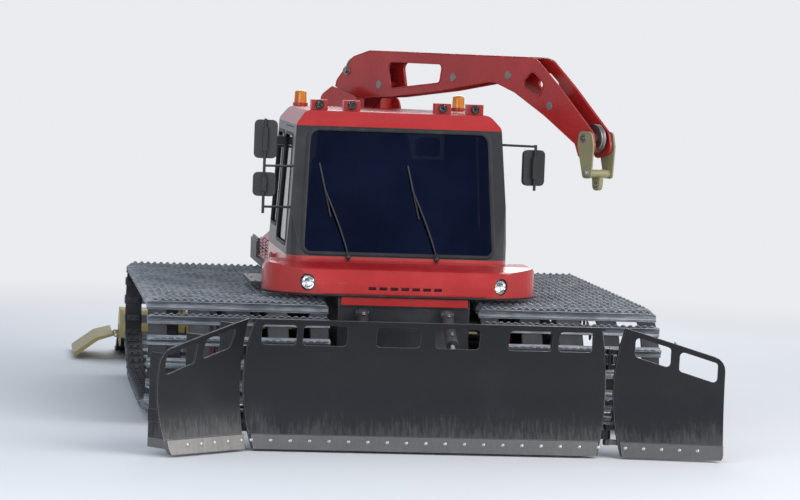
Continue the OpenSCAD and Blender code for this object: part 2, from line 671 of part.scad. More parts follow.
module exhaust() color("silver") {
    translate([cab_half - 110, housing_rear + 90, deck_z + seat_gap]) {
        cylinder(h = 420, r = 58);
        cylinder(h = 520, r = 40);
        translate([0, 0, 515]) rotate([20, 0, 0]) cylinder(h = 120, r = 40);
    }
}

// Blade: a push frame lifts it, a head swings it, and a pin ahead of the head lets it tilt

arm_x = 350;
frame_y = hull_front - 70;
frame_z = 455;
frame_pin = 34;
// Pins of the cylinders: rows of [distance ahead of the middle of the track, height]
lift_base = [hull_front + 62, 950];
lift_eye = [hull_front + 660, 600];
lift_barrel_len = 420;
// Kingpin on which the head swings, and the pin ahead of it on which the blade tilts
king_y = blade_y - 390;
king_pin = 45;
tilt_z = 560;
tilt_pin = 50;
// Pins of the swing, tilt and wing cylinders: rows of [side, distance ahead, height]
swing_base = [505, king_y - 560, 470];
swing_eye = [250, king_y + 85, 470];
tilt_base = [330, king_y + 172, 560];
tilt_eye = [470, king_y + 172, 900];
wing_base = [blade_half - 760, king_y + 135, 300];
hinge_back = 44;
wing_axis = [blade_half, -blade_y + blade_t + hinge_back];
wing_pin = 14;
// Pin of a wing's cylinder, from the wing's hinge
horn = [70, 190];
// Line of the backs of the blade's ribs and tubes, and thickness of a rib
rib_back = -blade_y + blade_t + 92;
rib_t = 15;

module push_frame() color("black") difference() {
    union() {
        for (s = [-1, 1]) {
            // Arm from its pivot eye to the nose that carries the kingpin
            translate([s * arm_x, -frame_y, frame_z]) rotate([0, 90, 0]) cylinder(h = 100, r = 78, center = true);
            along_x(s * arm_x - 50, s * arm_x + 50) polygon(rounded([[-frame_y + 20, frame_z - 60, 30],
                [-frame_y + 20, frame_z + 60, 30], [-lift_eye[0] + 160, 545, 60], [-lift_eye[0] - 40, 540, 0],
                [-lift_eye[0] - 40, 400, 0], [-lift_eye[0] + 200, 395, 60]]));
            along_z(400, 540) polygon([[s * (arm_x - 50), -lift_eye[0] + 30], [s * (arm_x + 50), -lift_eye[0] + 30],
                [s * (arm_x + 50), -lift_eye[0] - 20], [s * 150, -king_y + 120], [s * 50, -king_y + 60],
                [s * 40, -king_y + 200], [s * 100, -king_y + 220]]);
            // Ears of the lift cylinder, on top of the arm
            translate([s * arm_x, -lift_eye[0], lift_eye[1]]) rotate([0, 90, 0]) rotate([0, 0, 90]) clevis(big_ram, 61);
            // Ears of the swing cylinder, beside the arm
            translate([s * swing_base[0], -swing_base[1], swing_base[2]]) rotate([0, 0, -s * 90])
                clevis(small_ram, swing_base[0] - arm_x - 49);
        }
        along_z(400, 540) polygon(rounded([[-150, -king_y + 180, 0], [150, -king_y + 180, 0], [140, -king_y + 70, 40],
            [76, -king_y - 62, 60], [-76, -king_y - 62, 60], [-140, -king_y + 70, 40]]));
    }
    for (s = [-1, 1]) translate([s * arm_x, -frame_y, frame_z]) rotate([0, 90, 0])
        cylinder(h = 300, r = frame_pin + pin_gap, center = true);
    translate([0, -king_y, 300]) cylinder(h = 400, r = king_pin + pin_gap);
}
lift_rest = norm(lift_eye - lift_base);
lift_angle = atan2(lift_eye[1] - lift_base[1], lift_eye[0] - lift_base[0]);
// Turns a cylinder that lies along +X to point forward, rising by the angle a, with its pins across the machine
module point_forward(a) rotate([0, 0, -90]) rotate([0, -a, 0]) rotate([90, 0, 0]) children();
module lift_barrels() color("black")
    for (s = [-1, 1]) translate([s * arm_x, -lift_base[0], lift_base[1]])
        point_forward(lift_angle) ram_barrel(big_ram, lift_barrel_len);
module lift_rods() color("silver")
    for (s = [-1, 1]) translate([s * arm_x, -lift_base[0], lift_base[1]])
        point_forward(lift_angle) ram_rod(big_ram, lift_rest - lift_barrel_len + 20, lift_rest);

module swing_head() color("black") {
    difference() {
        union() {
            for (z = [[340, 400 - move_gap], [540 + move_gap, 606]])
                along_z(z[0], z[1]) polygon(rounded([[-95, -king_y + 70, 70], [95, -king_y + 70, 70],
                    [95, -king_y - 140, 0], [-95, -king_y - 140, 0]]));
            // Plate ahead of the kingpin, with the tilt pin in front
            box([-150, -king_y - 140, 340], [150, -king_y - 76, 640]);
            // Arms to the swing cylinders' eyes
            for (s = [-1, 1]) {
                for (z = [swing_eye[2] - 46, swing_eye[2] + 28]) along_z(z, z + 18)
                    polygon(rounded([[s * 140, -king_y - 140, 0], [s * 140, -king_y - 80, 0],
                        [s * (swing_eye[0] - 34), -swing_eye[1] + 34, 30], [s * (swing_eye[0] + 36), -swing_eye[1] + 34, 30],
                        [s * (swing_eye[0] + 36), -swing_eye[1] - 40, 30]]));
                translate([s * swing_eye[0], -swing_eye[1], swing_eye[2]]) cylinder(h = 92, r = small_ram[2], center = true);
            }
            // Foot of the tilt cylinder
            along_y(-king_y - 128, -king_y - 100) polygon(rounded([[-60, 510, 0], [-tilt_base[0] - 40, 520, 30],
                [-tilt_base[0] - 40, 600, 30], [-60, 636, 0]]));
        }
        translate([0, -king_y, 300]) cylinder(h = 400, r = king_pin - 1);
    }
    translate([0, -king_y, 330]) cylinder(h = 288, r = king_pin);
    for (z = [330, 604]) translate([0, -king_y, z]) cylinder(h = 14, r = 64);
    translate([0, -king_y - 139, tilt_z]) rotate([90, 0, 0]) cylinder(h = 150, r = tilt_pin);
    translate([-tilt_base[0], -king_y - 120, tilt_base[2]]) rotate([90, 0, 0]) cylinder(h = 82, r = small_ram[2]);
}
swing_rest = norm(swing_eye - swing_base);
module swing_ram(side) {
    translate([side * swing_base[0], -swing_base[1], swing_base[2]])
        rotate([0, 0, atan2(swing_base[1] - swing_eye[1], side * (swing_eye[0] - swing_base[0]))]) children();
}
module swing_barrel_left() color("black") swing_ram(1) ram_barrel(small_ram, 480);
module swing_rod_left() color("silver") swing_ram(1) ram_rod(small_ram, swing_rest - 534, swing_rest);
module swing_barrel_right() color("black") swing_ram(-1) ram_barrel(small_ram, 480);
module swing_rod_right() color("silver") swing_ram(-1) ram_rod(small_ram, swing_rest - 534, swing_rest);

// The tilt cylinder stands upright behind the blade
tilt_rest = norm(tilt_eye - tilt_base);
module tilt_ram() {
    translate([-tilt_base[0], -tilt_base[1], tilt_base[2]])
        rotate([0, -atan2(tilt_eye[2] - tilt_base[2], tilt_base[0] - tilt_eye[0]), 0]) rotate([90, 0, 0]) children();
}
module tilt_barrel() color("black") tilt_ram() ram_barrel(small_ram, 225);
module tilt_rod() color("silver") tilt_ram() ram_rod(small_ram, tilt_rest - 246, tilt_rest);

// Blade sections

blade_mid_z = blade_clear + blade_h / 2;
// Centre of the hollow face's circle, in (Y, Z), and the lower edge of that face
blade_c = [-blade_y - blade_r, blade_mid_z];
edge_y = blade_c[0] + sqrt(blade_r * blade_r - blade_h * blade_h / 4);
module blade_band() {
    translate(blade_c) intersection() {
        difference() {
            circle(r = blade_r + blade_t, $fn = 96);
            circle(r = blade_r, $fn = 96);
        }
        translate([0, -blade_h / 2]) square([blade_r * 2, blade_h]);
    }
}
// What lies behind the plate, between the heights z0 and z1
module blade_behind(z0, z1) {
    difference() {
        translate([edge_y - 60, z0]) square([rib_back - edge_y + 60, z1 - z0]);
        translate(blade_c) circle(r = blade_r + blade_t - 1, $fn = 96);
    }
}
module cutting_edge() {
    translate([edge_y, blade_clear]) polygon([[-14, 0], [16, 0], [56, 110], [26, 110]]);
}
// Windows through the plate under its top rail. Each is a row of [start, end], and the rail's top falls
// with the slope from the distance top_start on.
module windows(rows, slope = 0, top_start = 0) {
    top = blade_clear + blade_h - rail_h;
    along_y(-blade_y - 400, -blade_y + 400) for (w = rows) {
        a = top - (w[0] - top_start) * slope;
        b = top - (w[1] - top_start) * slope;
        polygon(rounded([[w[0], a - window_h, 30], [w[1], b - window_h, 30], [w[1], b, 30], [w[0], a, 30]], 3));
    }
}
mitre = 26;
// Rows: lower end and length of a knuckle of the blade, with the wing's knuckles above and below it
knuckles = [[130, 70], [720, 70]];
module blade() color("black") {
    difference() {
        union() {
            along_x(-blade_half, blade_half) blade_band();
            both() for (x = [575, blade_half - 465, blade_half - 135]) along_x(x, x + rib_t)
                blade_behind(blade_clear + 40, blade_clear + blade_h - 40);
            // Upper and lower tubes behind the plate
            for (z = [150, 700]) along_x(-blade_half + 128, blade_half - 128) blade_behind(z, z + 90);
            // Middle block with the boss that turns on the tilt pin
            along_x(-150, 150) blade_behind(220, 790);
            translate([0, -king_y - 156, tilt_z]) rotate([90, 0, 0]) cylinder(h = 170, r = 95);
            along_x(-blade_half, blade_half) cutting_edge();
            // Ear of the tilt cylinder, and ears of the wing cylinders
            along_x(-tilt_eye[0] - 44, -tilt_eye[0] + 44) {
                blade_behind(690, 944);
                translate([rib_back - 60, 870]) square([60 + 78 - hinge_back, 74]);
            }
            both() for (z = [wing_base[2] - 44, wing_base[2] + 28]) along_z(z, z + 16)
                polygon(rounded([[wing_base[0] - 90, rib_back - 40, 0], [wing_base[0] + 36, rib_back - 40, 0],
                    [wing_base[0] + 34, -wing_base[1] + 34, 30], [wing_base[0] - 34, -wing_base[1] + 34, 30]]));
            both() along_x(wing_base[0] - 60, wing_base[0] + 60) blade_behind(220, 350);
        }
        both() windows([[60, 400], [630, blade_half - 480], [blade_half - 430, blade_half - 160]]);
        // The ends are mitred so that the wings can fold forward
        both() translate([wing_axis[0], wing_axis[1], 0]) rotate([0, 0, -mitre]) box([-8, -900, -10], [900, 2, 1400]);
        both() box([wing_axis[0] - 8, wing_axis[1] - 2, -10], [wing_axis[0] + 500, wing_axis[1] + 400, 1400]);
        both() translate([wing_axis[0], wing_axis[1], 0]) cylinder(h = 1200, r = 37);
        translate([0, -king_y - 100, tilt_z]) rotate([90, 0, 0]) cylinder(h = 195, r = tilt_pin + pin_gap);
    }
    // Hinge knuckles
    both() for (z = knuckles) translate([wing_axis[0], wing_axis[1], z[0]]) difference() {
        union() {
            cylinder(h = z[1], r = 30);
            box([-134, -24, 0], [0, 24, z[1]]);
        }
        translate([0, 0, -1]) cylinder(h = z[1] + 2, r = wing_pin + pin_gap);
    }
    // Pins of the tilt cylinder and of the wing cylinders
    translate([-tilt_eye[0], -tilt_eye[1] + 26, tilt_eye[2]]) rotate([90, 0, 0]) cylinder(h = 130, r = small_ram[2]);
    both() translate([wing_base[0], -wing_base[1], wing_base[2]]) cylinder(h = 88, r = small_ram[2], center = true);
}
module wing() {
    z_top = blade_clear + blade_h;
    x1 = blade_half + wing_len;
    difference() {
        intersection() {
            union() {
                along_x(blade_half + 8, x1) blade_band();
                for (x = [150, 500, wing_len - 30]) along_x(blade_half + x, blade_half + x + rib_t)
                    blade_behind(blade_clear + 40, z_top - 40);
                along_x(blade_half + 8, x1) cutting_edge();
                along_x(blade_half + 60, x1 - 10) blade_behind(wing_base[2] - 48, wing_base[2] + 48);
            }
            along_y(-blade_y - 400, -blade_y + 400) polygon(rounded([[blade_half, 0, 0], [x1, 0, 60],
                [x1, z_top - wing_drop, 120], [blade_half + 120, z_top, 60], [blade_half, z_top, 0]]));
        }
        windows([[blade_half + 190, blade_half + 470], [blade_half + 540, x1 - 60]],
            wing_drop / (wing_len - 120), blade_half + 120);
        translate([wing_axis[0], wing_axis[1], 0]) rotate([0, 0, mitre]) box([-900, -900, -10], [8, 2, 1400]);
        box([wing_axis[0] - 500, wing_axis[1] - 2, -10], [wing_axis[0] + 46, wing_axis[1] + 400, 1400]);
        translate([wing_axis[0], wing_axis[1], 0]) cylinder(h = 1200, r = 37);
    }
    // Knuckles and the hinge pins
    for (z = knuckles) {
        for (k = [z[0] - 44, z[0] + z[1] + 6]) translate([wing_axis[0], wing_axis[1], k]) {
            cylinder(h = 38, r = 30);
            box([0, -26, 0], [160, 26, 38]);
        }
        translate([wing_axis[0], wing_axis[1], z[0] - 44]) cylinder(h = z[1] + 88, r = wing_pin);
    }
    // Horn of the wing's cylinder
    for (z = [wing_base[2] - 44, wing_base[2] + 28]) along_z(z, z + 16)
        polygon(rounded([[wing_axis[0] + 60, wing_axis[1] + 10, 0], [wing_axis[0] + 155, wing_axis[1] + 10, 0],
            [wing_axis[0] + horn[0] + 34, wing_axis[1] + horn[1] + 30, 30],
            [wing_axis[0] + horn[0] - 34, wing_axis[1] + horn[1] + 30, 30],
            [wing_axis[0] + horn[0] - 34, wing_axis[1] + horn[1] - 40, 20]]));
    translate([wing_axis[0] + horn[0], wing_axis[1] + horn[1], wing_base[2]]) cylinder(h = 88, r = small_ram[2], center = true);
}
// A wing folded forward about its hinge by the angle a
module folded(a) translate([wing_axis[0], wing_axis[1], 0]) rotate([0, 0, -a])
    translate([-wing_axis[0], -wing_axis[1], 0]) children();
module wing_left() color("black") folded(wing_turn_left) wing();
module wing_right() color("black") mirror([1, 0, 0]) folded(wing_turn_right) wing();

function horn_at(a) = wing_axis + [horn[0] * cos(a) + horn[1] * sin(a), horn[1] * cos(a) - horn[0] * sin(a)];
function wing_ram_len(a) = norm(horn_at(a) - [wing_base[0], -wing_base[1]]);
module wing_ram(a) {
    e = horn_at(a);
    translate([wing_base[0], -wing_base[1], wing_base[2]])
        rotate([0, 0, atan2(e[1] + wing_base[1], e[0] - wing_base[0])]) children();
}
wing_barrel_len = 560;
wing_rod_len = 590;
module wing_barrel(a) wing_ram(a) ram_barrel(small_ram, wing_barrel_len);
module wing_rod(a) wing_ram(a) ram_rod(small_ram, wing_ram_len(a) - wing_rod_len, wing_ram_len(a));
module wing_barrel_left() color("black") wing_barrel(wing_turn_left);
module wing_rod_left() color("silver") wing_rod(wing_turn_left);
module wing_barrel_right() color("black") mirror([1, 0, 0]) wing_barrel(wing_turn_right);
module wing_rod_right() color("silver") mirror([1, 0, 0]) wing_rod(wing_turn_right);

// Winch: a turntable with the drum between two cheeks, and a boom over the cab.
// It is drawn pointing along +X of its own frame, with the slewing axis at the origin.

module on_winch() translate([0, winch_y, 0]) rotate([0, 0, -90 + boom_turn]) children();
drum_z = winch_z + 60 + drum_r + 40;
drum_half = 200;
drum_y = -30;
sheave_r = 120;
sheave_pin = 20;
top_sheave = [-230, boom_top - 190];
head_sheave = [3095, boom_top - 650];

module turntable() color("firebrick") on_winch() {
    difference() {
        union() {
            translate([0, 0, winch_z + move_gap]) cylinder(h = 44, r = 520);
            translate([0, 0, winch_z + move_gap]) cylinder(h = 74, r = 160);
            for (s = [-1, 1]) translate([0, s * (drum_half + 34), 0]) rotate([90, 0, 0])
                linear_extrude(cheek_t, center = true) polygon(rounded([[-430, winch_z + 40, 0], [-480, drum_z, 90],
                    [-420, boom_top - 420, 80], [-250, boom_top - 330, 60], [120, boom_top - 420, 90],
                    [400, drum_z + 100, 90], [430, winch_z + 40, 0]]));
        }
        translate([drum_y, 0, drum_z]) rotate([90, 0, 0]) cylinder(h = 900, r = 70, center = true);
        cylinder(h = drum_z, r = slew_pin + pin_gap);
    }
    // Bearings of the drum, outside the cheeks
    for (s = [-1, 1]) translate([drum_y, s * (drum_half + 34), drum_z]) rotate([90, 0, 0]) ring(100, 46, cheek_t + 4);
    translate([drum_y, -drum_half - 42, drum_z]) rotate([90, 0, 0]) cylinder(h = 110, r = 110);
    translate([-360, 0, winch_z + 110]) rotate([90, 0, 0]) cylinder(h = 2 * drum_half + 68, r = 34, center = true);
}
module drum() color("dimgray") on_winch() translate([drum_y, 0, drum_z]) rotate([90, 0, 0]) {
    for (s = [-1, 1]) translate([0, 0, s * (drum_half - 10)]) cylinder(h = 16, r = drum_r, center = true);
    cylinder(h = 2 * drum_half - 4, r = 240, center = true);
    cylinder(h = 2 * drum_half + 80, r = 46 - pin_gap, center = true);
}

// The boom's side view: rows of [reach, height below the boom's top, corner radius]
boom_rows = [
    [-415, -420, 20], [-420, -560, 60], [-120, -560, 40], [60, -420, 60], [420, -400, 60], [1150, -320, 300],
    [1850, -215, 300], [2150, -300, 160], [2550, -480, 200], [2960, -700, 30], [3020, -820, 40],
    [3220, -760, 60], [3180, -600, 60], [2720, -230, 160], [2430, -20, 120], [2330, 0, 60], [100, 0, 140],
    [-140, -60, 60], [-380, -280, 60]];
module boom_outline() polygon(rounded([for (p = boom_rows) [p[0], boom_top + p[1], p[2]]], 4));
// Openings in the cheeks
boom_holes = [
    [[420, -330, 40], [1120, -255, 40], [1150, -90, 40], [360, -90, 60]],
    [[2210, -230, 40], [2490, -330, 40], [2530, -210, 40], [2380, -110, 60]]];
module boom() color("firebrick") on_winch() {
    for (s = [-1, 1]) translate([0, s * (boom_half - cheek_t / 2), 0]) rotate([90, 0, 0])
        linear_extrude(cheek_t, center = true) difference() {
            boom_outline();
            for (h = boom_holes) polygon(rounded([for (p = h) [p[0], boom_top + p[1], p[2]]], 4));
        }
    // Cross tubes between the cheeks
    for (p = [[-300, -480], [250, -300], [1300, -200], [2050, -160], [2610, -400]])
        translate([p[0], 0, boom_top + p[1]]) rotate([90, 0, 0]) cylinder(h = 2 * boom_half - cheek_t, r = 38, center = true);
    // Top plate
    box([160, -boom_half + 2, boom_top - 12], [2300, boom_half - 2, boom_top - 4]);
    // Pins of the two sheaves
    for (p = [top_sheave, head_sheave]) translate([p[0], 0, p[1]]) rotate([90, 0, 0])
        cylinder(h = 2 * boom_half + 64, r = sheave_pin, center = true);
    // Feet between the boom's cheeks and those of the turntable
    foot = drum_half + 34 - cheek_t / 2 - seat_gap;
    for (y = [[-foot, -boom_half + 2], [boom_half - 2, foot]]) along_y(y[0], y[1])
        polygon([[-380, boom_top - 540], [-380, boom_top - 430], [40, boom_top - 430], [40, boom_top - 540]]);
}
module sheave(p) on_winch() translate([p[0], 0, p[1]]) rotate([90, 0, 0])
    rotate_extrude() polygon([[sheave_pin + pin_gap, -32], [50, -32], [50, -14], [sheave_r - 30, -14], [sheave_r, -24],
        [sheave_r, -rope_d - 1], [sheave_r - rope_d - 3, 0], [sheave_r, rope_d + 1], [sheave_r, 24],
        [sheave_r - 30, 14], [50, 14], [50, 32], [sheave_pin + pin_gap, 32]]);
module top_sheave() color("dimgray") sheave(top_sheave);
module head_sheave() color("dimgray") sheave(head_sheave);
// Two cheeks on the sheave's pin, and between them the crossbar with the block of the hook's eye
module rope_head() color("olive") on_winch() translate([head_sheave[0], 0, head_sheave[1]]) {
    for (s = [-1, 1]) translate([0, s * (boom_half + 22), 0]) rotate([90, 0, 0]) difference() {
        linear_extrude(head_cheek, center = true) polygon(rounded([[-70, -60, 40], [-60, 60, 50], [100, 60, 50],
            [130, -60, 40], [110, -330, 30], [10, -330, 30]]));
        cylinder(h = 3 * head_cheek, r = sheave_pin + pin_gap, center = true);
    }
    difference() {
        union() {
            translate([hook_x, 0, -290]) rotate([90, 0, 0])
                cylinder(h = 2 * (boom_half + 22 - seat_gap) - head_cheek, r = 36, center = true);
            along_y(-hook_half, hook_half) polygon(rounded([[hook_x - 50, -320, 0], [hook_x + 50, -320, 0],
                [hook_x + 40, -430, 40], [hook_x - 40, -430, 40]]));
        }
        translate([hook_x, 0, -385]) rotate([90, 0, 0]) cylinder(h = 200, r = hook_r, center = true);
    }
}
head_cheek = 14;
hook_x = 60;
hook_half = 20;
hook_r = 18;

// Tiller: arms lift a frame with the hood, the rotor and the finishing comb

hoist_x = 400;
hoist_y = hull_rear - 62;
hoist_z = 700;
ram_x = 215;
hoist_base = [hull_rear + 62, 850];
hoist_eye = [2790, 690];

module tiller_frame() color("black") difference() {
    union() {
        for (s = [-1, 1]) {
            translate([s * hoist_x, hoist_y, hoist_z]) rotate([0, 90, 0]) cylinder(h = 90, r = 74, center = true);
            along_x(s * hoist_x - 45, s * hoist_x + 45) polygon(rounded([[hoist_y - 10, hoist_z - 60, 20],
                [hoist_y - 10, hoist_z + 60, 20], [2700, 690, 80], [3100, 690, 30], [3100, 570, 30], [2700, 560, 80]]));
            translate([s * ram_x, hoist_eye[0], hoist_eye[1]]) rotate([0, 90, 0]) rotate([0, 0, 90]) clevis(big_ram, 110);
        }
        // Cross-beams: one between the arms, one over the hood
        box([-hoist_x - 45, 2740, 560], [hoist_x + 45, 2860, 600]);
        box([-1700, 3000, 575], [1700, 3100, 685]);
        for (x = [-1500, -700, 700, 1500]) along_x(x - 12, x + 12) polygon(rounded([[3000, 576, 0], [3100, 576, 0],
            [3300, 560, 30], [rotor_y + 60, hood_top + seat_gap, 0], [rotor_y - 120, hood_top + seat_gap, 0]]));
    }
    for (s = [-1, 1]) translate([s * hoist_x, hoist_y, hoist_z]) rotate([0, 90, 0])
        cylinder(h = 300, r = frame_pin + pin_gap, center = true);
}
hoist_rest = norm([hoist_eye[0] - hoist_base[0], hoist_eye[1] - hoist_base[1]]);
hoist_angle = atan2(hoist_eye[1] - hoist_base[1], hoist_eye[0] - hoist_base[0]);
module point_back(a) rotate([0, 0, 90]) rotate([0, -a, 0]) rotate([90, 0, 0]) children();
module hoist_barrels() color("black")
    for (s = [-1, 1]) translate([s * ram_x, hoist_base[0], hoist_base[1]]) point_back(hoist_angle) ram_barrel(big_ram, 350);
module hoist_rods() color("silver")
    for (s = [-1, 1]) translate([s * ram_x, hoist_base[0], hoist_base[1]]) point_back(hoist_angle) ram_rod(big_ram, 200, hoist_rest);

hood_r = rotor_r + 24;
hood_t = 14;
hood_top = rotor_z + hood_r + hood_t;
module hood() color("goldenrod") {
    along_x(-tiller_half, tiller_half) {
        translate([rotor_y, rotor_z]) intersection() {
            difference() {
                circle(r = hood_r + 14, $fn = 96);
                circle(r = hood_r, $fn = 96);
            }
            translate([-400, -40]) square([800, 600]);
        }
        polygon([[rotor_y + hood_r, rotor_z - 60], [rotor_y + hood_r + 14, rotor_z - 60], [rotor_y + hood_r + 14, rotor_z],
            [rotor_y + hood_r, rotor_z]]);
    }
    // End plates with the rotor's bearings
    both() difference() {
        along_x(tiller_half - 14, tiller_half) polygon(rounded([[rotor_y - hood_r - 14, rotor_z - 130, 40],
            [rotor_y - hood_r - 14, rotor_z + 60, 80], [rotor_y - 100, hood_top, 100], [rotor_y + 100, hood_top, 100],
            [rotor_y + hood_r + 14, rotor_z + 60, 80], [rotor_y + hood_r + 14, rotor_z - 60, 20]]));
        translate([tiller_half - 40, rotor_y, rotor_z]) rotate([0, 90, 0]) cylinder(h = 80, r = 40 + pin_gap);
    }
    // Lugs and pins on which the side flaps hinge
    both() for (y = flap_knuckles) {
        for (k = [y - 26, y + 66]) box([tiller_half - 8, k, flap_axis[1] - 18], [flap_axis[0] + 18, k + 20, flap_axis[1] + 18]);
        translate([flap_axis[0], y - 20, flap_axis[1]]) rotate([-90, 0, 0]) cylinder(h = 100, r = flap_pin);
    }
}
module rotor() color("dimgray") translate([0, rotor_y, rotor_z]) rotate([0, 90, 0]) {
    span = 2 * (tiller_half - 14 - move_gap);
    cylinder(h = span, r = 84, center = true);
    cylinder(h = 2 * tiller_half - 2, r = 40, center = true);
    for (i = [-12:12]) translate([0, 0, i * (span - 60) / 25]) rotate(i * 40)
        linear_extrude(34, center = true) polygon([[-26, 60], [26, 60], [12, rotor_r], [-12, rotor_r]]);
    for (i = [-12:12]) translate([0, 0, i * (span - 60) / 25]) rotate(i * 40 + 180)
        linear_extrude(34, center = true) polygon([[-26, 60], [26, 60], [12, rotor_r], [-12, rotor_r]]);
}
comb_y = rotor_y + hood_r + 14 + seat_gap;
module comb() color("black") difference() {
    along_x(-tiller_half, tiller_half) polygon(rounded([[comb_y, rotor_z - 50, 0], [comb_y, rotor_z - 20, 0],
        [comb_y + 180, rotor_z - 70, 200], [comb_y + comb_len - 240, 60, 200], [comb_y + comb_len, 34, 10],
        [comb_y + comb_len, 8, 8], [comb_y + comb_len - 260, 12, 200], [comb_y + 160, rotor_z - 150, 200]], 4));
    // Slots between the tines
    n = floor(tiller_half / tine_pitch);
    for (i = [-n:n - 1]) box([(i + 0.5) * tine_pitch - tine_slot / 2, comb_y + comb_len - tine_len, 0],
        [(i + 0.5) * tine_pitch + tine_slot / 2, comb_y + comb_len + 1, 200]);
}
tine_pitch = 70;
tine_slot = 12;
tine_len = 230;
flap_axis = [tiller_half + 30, rotor_z - 20];
flap_pin = 12;
flap_knuckles = [rotor_y - 150, rotor_y + 130];
module flap() {
    along_y(rotor_y - 160, comb_y + comb_len - 140) polygon(rounded([[flap_axis[0] + 30, flap_axis[1] - 12, 0],
        [flap_axis[0] + 30, flap_axis[1] + 12, 0], [flap_axis[0] + 190, flap_axis[1] - 30, 120],
        [flap_axis[0] + flap_len - 30, 60, 30], [flap_axis[0] + flap_len - 30, 16, 10],
        [flap_axis[0] + 170, flap_axis[1] - 56, 120]]));
    for (y = flap_knuckles) translate([flap_axis[0], y, flap_axis[1]]) rotate([-90, 0, 0]) difference() {
        union() {
            cylinder(h = 60, r = 22);
            box([0, -10, 0], [50, 10, 60]);
        }
        translate([0, 0, -1]) cylinder(h = 62, r = flap_pin + pin_gap);
    }
}
module flap_left() color("goldenrod") flap();
module flap_right() color("goldenrod") mirror([1, 0, 0]) flap();

chassis();
deck();
nose();
engine_housing();
engine_block();
exhaust();
platforms();
headlamps();
cab_shell();
cab_glass();
seats();
console();
roof_lamps();
mirrors();
axles();
rims();
tyres();
sprockets();
track_left();
track_right();
door_left();
door_left_glass();
door_right();
door_right_glass();
push_frame();
lift_barrels();
lift_rods();
swing_head();
swing_barrel_left();
swing_rod_left();
swing_barrel_right();
swing_rod_right();
tilt_barrel();
tilt_rod();
blade();
wing_left();
wing_right();
wing_barrel_left();
wing_rod_left();
wing_barrel_right();
wing_rod_right();
turntable();
drum();
boom();
top_sheave();
head_sheave();
rope_head();
tiller_frame();
hoist_barrels();
hoist_rods();
hood();
comb();
rotor();
flap_left();
flap_right();
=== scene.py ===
import json
import math

import bmesh
import bpy
import numpy as np
from mathutils import Matrix, Vector


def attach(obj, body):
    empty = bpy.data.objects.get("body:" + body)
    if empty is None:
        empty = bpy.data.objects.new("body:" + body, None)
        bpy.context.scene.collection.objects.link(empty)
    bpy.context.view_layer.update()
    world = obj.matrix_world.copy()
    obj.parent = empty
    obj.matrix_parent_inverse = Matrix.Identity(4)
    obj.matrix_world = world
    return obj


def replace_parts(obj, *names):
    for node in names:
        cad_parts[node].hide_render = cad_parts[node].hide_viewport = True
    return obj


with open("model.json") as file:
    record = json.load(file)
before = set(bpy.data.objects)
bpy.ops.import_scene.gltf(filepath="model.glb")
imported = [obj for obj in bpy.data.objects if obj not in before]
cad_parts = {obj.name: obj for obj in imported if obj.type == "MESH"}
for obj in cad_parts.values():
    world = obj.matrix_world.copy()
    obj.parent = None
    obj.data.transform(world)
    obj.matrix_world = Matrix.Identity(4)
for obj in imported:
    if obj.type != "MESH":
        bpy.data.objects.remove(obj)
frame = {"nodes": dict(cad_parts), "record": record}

scene = bpy.context.scene
scene.view_settings.view_transform = "Standard"
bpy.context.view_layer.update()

# The eye. It looks at the groomer from ahead, a little from the machine's right, and from just over head
# height, thirty metres off. The slope in the photograph leans the machine, so the camera is rolled.
eye_distance = 30.0
eye_turn = math.radians(-7.0)
eye_rise = math.radians(3.6)
eye_roll = math.radians(2.1)
aim = Vector((0.2, 0.0, 1.34))
back = Vector((math.sin(eye_turn) * math.cos(eye_rise), -math.cos(eye_turn) * math.cos(eye_rise), math.sin(eye_rise)))
eye = bpy.data.objects.new("eye", bpy.data.cameras.new("eye"))
eye.data.lens = 154
eye.data.clip_end = 400
eye.rotation_mode = "QUATERNION"
eye.location = aim + back * eye_distance
eye.rotation_quaternion = (-back).to_track_quat("-Z", "Y") @ Matrix.Rotation(eye_roll, 3, "Z").to_quaternion()
scene.collection.objects.link(eye)
scene.camera = eye


# Finishes. A finish is one material. Its colour, gloss and relief are sums and products of fields over
# the surface, so a Field stands for a socket and each operator on it adds the node that works it out.
def operator(operation):
    """The method of a Field that works out the operation on it and another term."""
    return lambda field, other: field.maths(operation, field, other)


class Field:
    """A socket of a finish's nodes, as a term in a formula. Larger and smaller work point by point."""

    def __init__(self, finish, socket):
        self.finish, self.socket = finish, socket

    def maths(self, operation, *terms):
        """The Math node of that operation on the terms."""
        return self.finish.node("ShaderNodeMath", {"operation": operation}, *terms)

    __add__ = __radd__ = operator("ADD")
    __mul__ = __rmul__ = operator("MULTIPLY")
    __sub__ = operator("SUBTRACT")
    __gt__ = operator("GREATER_THAN")
    __lt__ = operator("LESS_THAN")
    larger = operator("MAXIMUM")
    smaller = operator("MINIMUM")

    def __rsub__(self, other):
        return self.maths("SUBTRACT", other, self)

    def wave(self):
        """The sine of the field."""
        return self.maths("SINE", self)

    def size(self):
        """The field without its sign."""
        return self.maths("ABSOLUTE", self)

    def ramp(self, low, high):
        """0 where the field is low, 1 where it is high, and a smooth step between."""
        return self.finish.node("ShaderNodeMapRange", {"interpolation_type": "SMOOTHSTEP"}, Value=self,
                                **{"From Min": low, "From Max": high})


